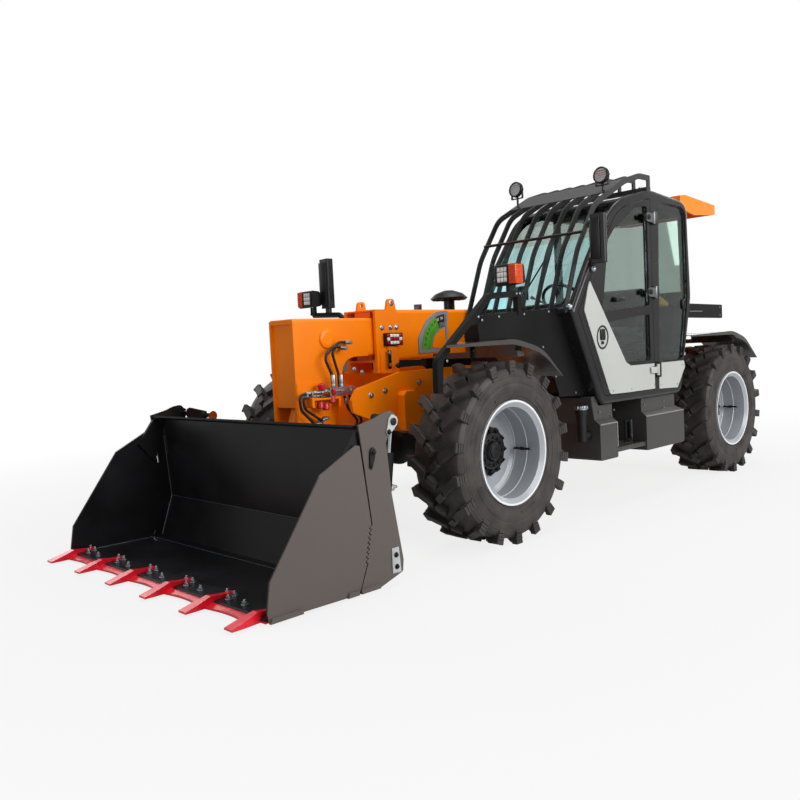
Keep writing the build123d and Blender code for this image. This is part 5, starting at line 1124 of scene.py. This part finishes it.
for tens in range(1, 9):
    for place, digit in ((-0.007, tens), (0.007, 0)):
        for name in DIGITS[digit]:
            low, high = ((p[1], p[0] + place) for p in STROKES[name])
            stroke_in(white if tens > 6 else ink, 0.231, tens * 10, low, high, DIAL_Y + 0.0004)
finished("dial_green_band", green, "boom", "panel_grey", dial_green)
finished("dial_ink", ink, "boom", "panel_grey", dial_ink)
finished("dial_white_ink", white, "boom", "panel_grey", dial_white)

# ---------------------------------------------------------------- telescope, couplers and hoses
# Orange boom head with a pressed nose; a zinc coupler block with red dust caps and brass
# nipples; braided rubber hoses with crimped zinc ferrules.
clad(orange_enamel, "inner_boom")
hose_rubber = surfaced("hose_rubber", "#111112", "#18181a", 0.5, 20, 1.5, 0.3, gloss=0.35)
clad(hose_rubber, "hoses")
clad(zinc, "couplers")
red_cap = surfaced("red_dust_cap", "#c5121b", "#ae0f17", 0.35, 30, 2, 0.1)
brass = surfaced("brass_fitting", "#b8863a", "#a67632", 0.25, 30, 2, 0.05, Metallic=1.0)
caps = bmesh.new()
spun_in(caps, [(-0.016, 0.0), (-0.016, 0.026), (0.016, 0.026), (0.021, 0.02), (0.021, 0.0)],
        at(0.777, 0.19, 1.058),
        (0.3, 0, 1), 24)
spun_in(caps, [(-0.012, 0.0), (-0.012, 0.026), (0.012, 0.026), (0.012, 0.0)], at(0.691, 0.19, 1.021),
        (1, 0, 0.06), 24)
for x, z in ((0.707, 0.968), (0.808, 0.94), (0.763, 0.927)):
    spun_in(caps, [(-0.022, 0.0), (-0.022, 0.019), (-0.004, 0.023), (0.016, 0.023), (0.022, 0.017),
                   (0.022, 0.0)], at(x, 0.205, z),
            (0.1, 0.1, -1), 24)
finished("coupler_caps", caps, "telescope", "edge_red", red_cap)
fittings = bmesh.new()
for x in (0.735, 0.756):
    rod_in(fittings, at(x, 0.19, 1.017), at(x + 0.014, 0.19, 1.0165), 0.02, sides=6, edge=0.001)
finished("coupler_nipples", fittings, "telescope", "chrome_rod", brass)
metal = bmesh.new()
for start, end in (((0.677, 1.13), (0.677, 1.044)), ((0.609, 1.126), (0.609, 1.039)),
                   ((0.574, 0.971), (0.574, 0.93)), ((0.507, 0.966), (0.507, 0.925))):
    low, high = at(start[0], 0.19, start[1]), at(end[0], 0.19, end[1])
    rod_in(metal, low, high, 0.0155, edge=0.002)
    rod_in(metal, high.lerp(low, 0.05), high.lerp(low, 0.3), 0.019, sides=6, edge=0.001)
for x in (0.6, 0.53, 0.46, 0.86, 0.9):
    rod_in(metal, at(x, 0.19, 1.012), at(x + 0.012, 0.19, 1.012), 0.023, sides=6, edge=0.001)
plated("hose_ferrules", metal, "telescope")
cords = bmesh.new()
for x0, z0, x1, z1 in ((0.73, 1.0, 0.763, 0.942), (0.69, 1.0, 0.707, 0.984), (0.8, 1.0, 0.808, 0.956)):
    rod_in(cords, at(x0, 0.205, z0), at(x1, 0.205, z1), 0.0025, sides=8)
finished("cap_cords", cords, "telescope", "plastic", rubber)
plate_bolts = bmesh.new()
for x, z in ((0.469, 1.154), (0.401, 1.129)):
    bolt_in(plate_bolts, at(x, 0.17, z), (0, 1, 0), 0.022)
plated("telescope_bolts", plate_bolts, "telescope")

# ---------------------------------------------------------------- cylinders
# Seamless tube barrels (orange on the boom, black on the bucket) and hard chromed rods.
clad(orange_enamel, "lift_barrel", "tilt_barrel")
clad(black_paint, "clam_barrels")
hard_chrome = surfaced("hard_chromed_rod", "#d8dadc", "#cfd2d4", 0.1, 60, 40, 0.01, Metallic=1.0)
clad(hard_chrome, "lift_rod", "tilt_rod", "clam_rods")


# ---------------------------------------------------------------- quick hitch and bucket
# Four-in-one bucket, welded from 12 and 16 mm plate and sprayed dark grey. The sides' outer
# faces are painted a lighter warm grey as lit, and everything inside is painted near-black as shade;
# inside, the floor and the lower back sheet are rubbed smooth.
BUCKET_HALF = 1.116


def lit_outer_side_zone(tree, place):
    """1 on the outer faces of the bucket's side plates, painted lighter as lit; elsewhere the bucket is
    painted near-black as shade.
    """
    parts = add_node(tree, "ShaderNodeSeparateXYZ", {0: place})
    off = add_node(tree, "ShaderNodeMath", {0: parts.outputs["Y"]}, operation="ABSOLUTE")
    return add_node(tree, "ShaderNodeMath", {0: off.outputs[0], 1: 1.1085},
                    operation="GREATER_THAN").outputs[0]


# Near-black on every face but the sides' outer ones: painted shade inside the bucket; the warm grey outer
# faces are painted as lit.
bucket_paint_painted_shade = surfaced("bucket_enamel_painted_shade_inside", "#101012", "#17171a", 0.34, 320, 3, 0.12, lit_outer_side_zone,
                        "#5f5753", gloss=0.3)
clad(bucket_paint_painted_shade, "bucket_back", "bucket_clam")
clad(cast_black, "carriage")
red_paint = surfaced("red_edge_paint", "#e3102c", "#cf0c24", 0.33, 200, 3, 0.12, coat=0.25)
clad(red_paint, "bucket_edge")
LIP = 1.9
STEP = 0.416

edge_bolts = bmesh.new()
for i in range(6):
    y = STEP * i - 1.04
    for x, shift, z in ((LIP - 0.085, 0.034, 0.04), (LIP - 0.085, -0.034, 0.04), (LIP - 0.03, 0.062, 0.04)):
        if abs(y + shift) < 1.09:
            bolt_in(edge_bolts, at(x, y + shift, z), (0, 0, 1), 0.024)
            rod_in(edge_bolts, at(x, y + shift, z), at(x, y + shift, z + 0.026), 0.0075, sides=12, edge=0.001)
    if i:
        bolt_in(edge_bolts, at(LIP - 0.03, y - STEP / 2, 0.04), (0, 0, 1), 0.024)
        rod_in(edge_bolts, at(LIP - 0.03, y - STEP / 2, 0.04), at(LIP - 0.03, y - STEP / 2, 0.066), 0.0075,
               sides=12,
               edge=0.001)
plated("edge_bolts", edge_bolts, "clam")

# Weld beads along the inner corners, rubbed bright.
bright_weld = surfaced("rubbed_weld_bead", "#6d7075", "#505357", 0.4, 20, 2, 0.3, Metallic=0.6)
BEAD_Y = 1.098
beads = bmesh.new()
for side in (1, -1):
    rod_in(beads, at(1.355, side * BEAD_Y, 0.026), at(LIP - 0.1, side * BEAD_Y, 0.028), 0.0035, sides=8)
rod_in(beads, at(LIP - 0.112, -1.09, 0.03), at(LIP - 0.112, 1.09, 0.03), 0.003, sides=8)
finished("clam_weld_beads", beads, "clam", "bucket_grey", bright_weld)
beads = bmesh.new()
for side in (1, -1):
    corner = at(1.18, side * BEAD_Y, 0.302)
    rod_in(beads, corner, at(1.276, side * BEAD_Y, 0.03), 0.0035, sides=8)
    rod_in(beads, corner, at(1.214, side * BEAD_Y, 0.74), 0.0028, sides=8)
rod_in(beads, at(1.183, -1.09, 0.3), at(1.183, 1.09, 0.3), 0.002, sides=8)
rod_in(beads, at(1.3465, -1.09, 0.0255), at(1.3465, 1.09, 0.0255), 0.002, sides=8)
finished("back_weld_beads", beads, "bucket", "bucket_grey", bright_weld)

# Pin-lock plate, latch and wear plate on each side.
white_steel = surfaced("nickel_plated_plate", "#dcdedf", "#c9cccd", 0.28, 60, 2, 0.05, Metallic=0.7)
locks = bmesh.new()
for side in (1, -1):
    y = side * BUCKET_HALF
    out = Vector((0, side * 0.008, 0))
    pin, tail = Vector((1.057, 0, 0.888)), Vector((1.098, 0, 0.826))
    along = (tail - pin).normalized()
    across = Vector((along.z, 0, -along.x))
    rows = [(0.0, 0.036), (-0.024, 0.03), (-0.036, 0.012), (-0.036, -0.012), (-0.024, -0.03), (0.0, -0.036),
            (0.074, -0.014), (0.082, 0.0), (0.074, 0.014)]
    corners = [at(*(pin + along * a + across * b + Vector((0, y, 0)))) for a, b in rows]
    plate_in(locks, corners, out, 0.002)
    plate_in(locks, [at(x, y, z) for x, z in ((1.046, 0.062), (1.112, 0.066), (1.112, 0.205),
                                              (1.058, 0.205))],
             out, 0.004)
    rod_in(locks, at(1.0, side * 0.9, 0.482), at(0.9, side * 0.9, 0.482), 0.014, sides=20, edge=0.002)
    rod_in(locks, at(0.93, side * 0.9, 0.482), at(0.87, side * 0.9, 0.482), 0.021, sides=20, edge=0.004)
    rod_in(locks, at(0.872, side * 0.9, 0.482), at(0.84, side * 0.9, 0.482), 0.013, 0.009, sides=16,
           edge=0.002)
finished("pin_lock_plates", locks, "bucket", "chrome_rod", white_steel)
fixings = bmesh.new()
for side in (1, -1):
    y = side * (BUCKET_HALF + 0.008)
    rod_in(fixings, at(1.057, y, 0.888), at(1.057, y + side * 0.006, 0.888), 0.021, edge=0.002)
    for x, z in ((1.092, 0.835), (1.084, 0.165), (1.082, 0.1)):
        bolt_in(fixings, at(x, y, z), (0, side, 0), 0.018)
finished("side_plate_bolts", fixings, "bucket", "axle_black", hub_black)
latch = bmesh.new()
for side in (1, -1):
    y = side * BUCKET_HALF
    corners = [(1.196, 0.75), (1.21, 0.768), (1.23, 0.762), (1.238, 0.74), (1.243, 0.665), (1.232, 0.65),
               (1.221, 0.66),
               (1.199, 0.722)]
    plate_in(latch, [at(x, y, z) for x, z in corners], (0, side * 0.01, 0), 0.003)
    bolt_in(latch, at(1.216, y + side * 0.01, 0.742), (0, side, 0), 0.022)
    bolt_in(latch, at(1.233, y + side * 0.01, 0.672), (0, side, 0), 0.012, False)
finished("clam_latches", latch, "bucket", "bucket_grey", hub_black)

# Inner cover strips behind the toothed joint, so no light shows between the two halves.
covers = bmesh.new()
COVER = [(1.222, 0.55), (1.275, 0.55), (1.268, 0.36), (1.312, 0.165), (1.352, 0.07), (1.3, 0.07),
         (1.268, 0.155),
         (1.222, 0.36)]
# The strips take the bucket's near-black painted shade.
for side in (1, -1):
    plate_in(covers, [at(x, side * 1.0998, z) for x, z in COVER], Vector((0, -side * 0.003, 0)), 0.0)
finished("joint_covers", covers, "bucket", "bucket_grey", bucket_paint_painted_shade)
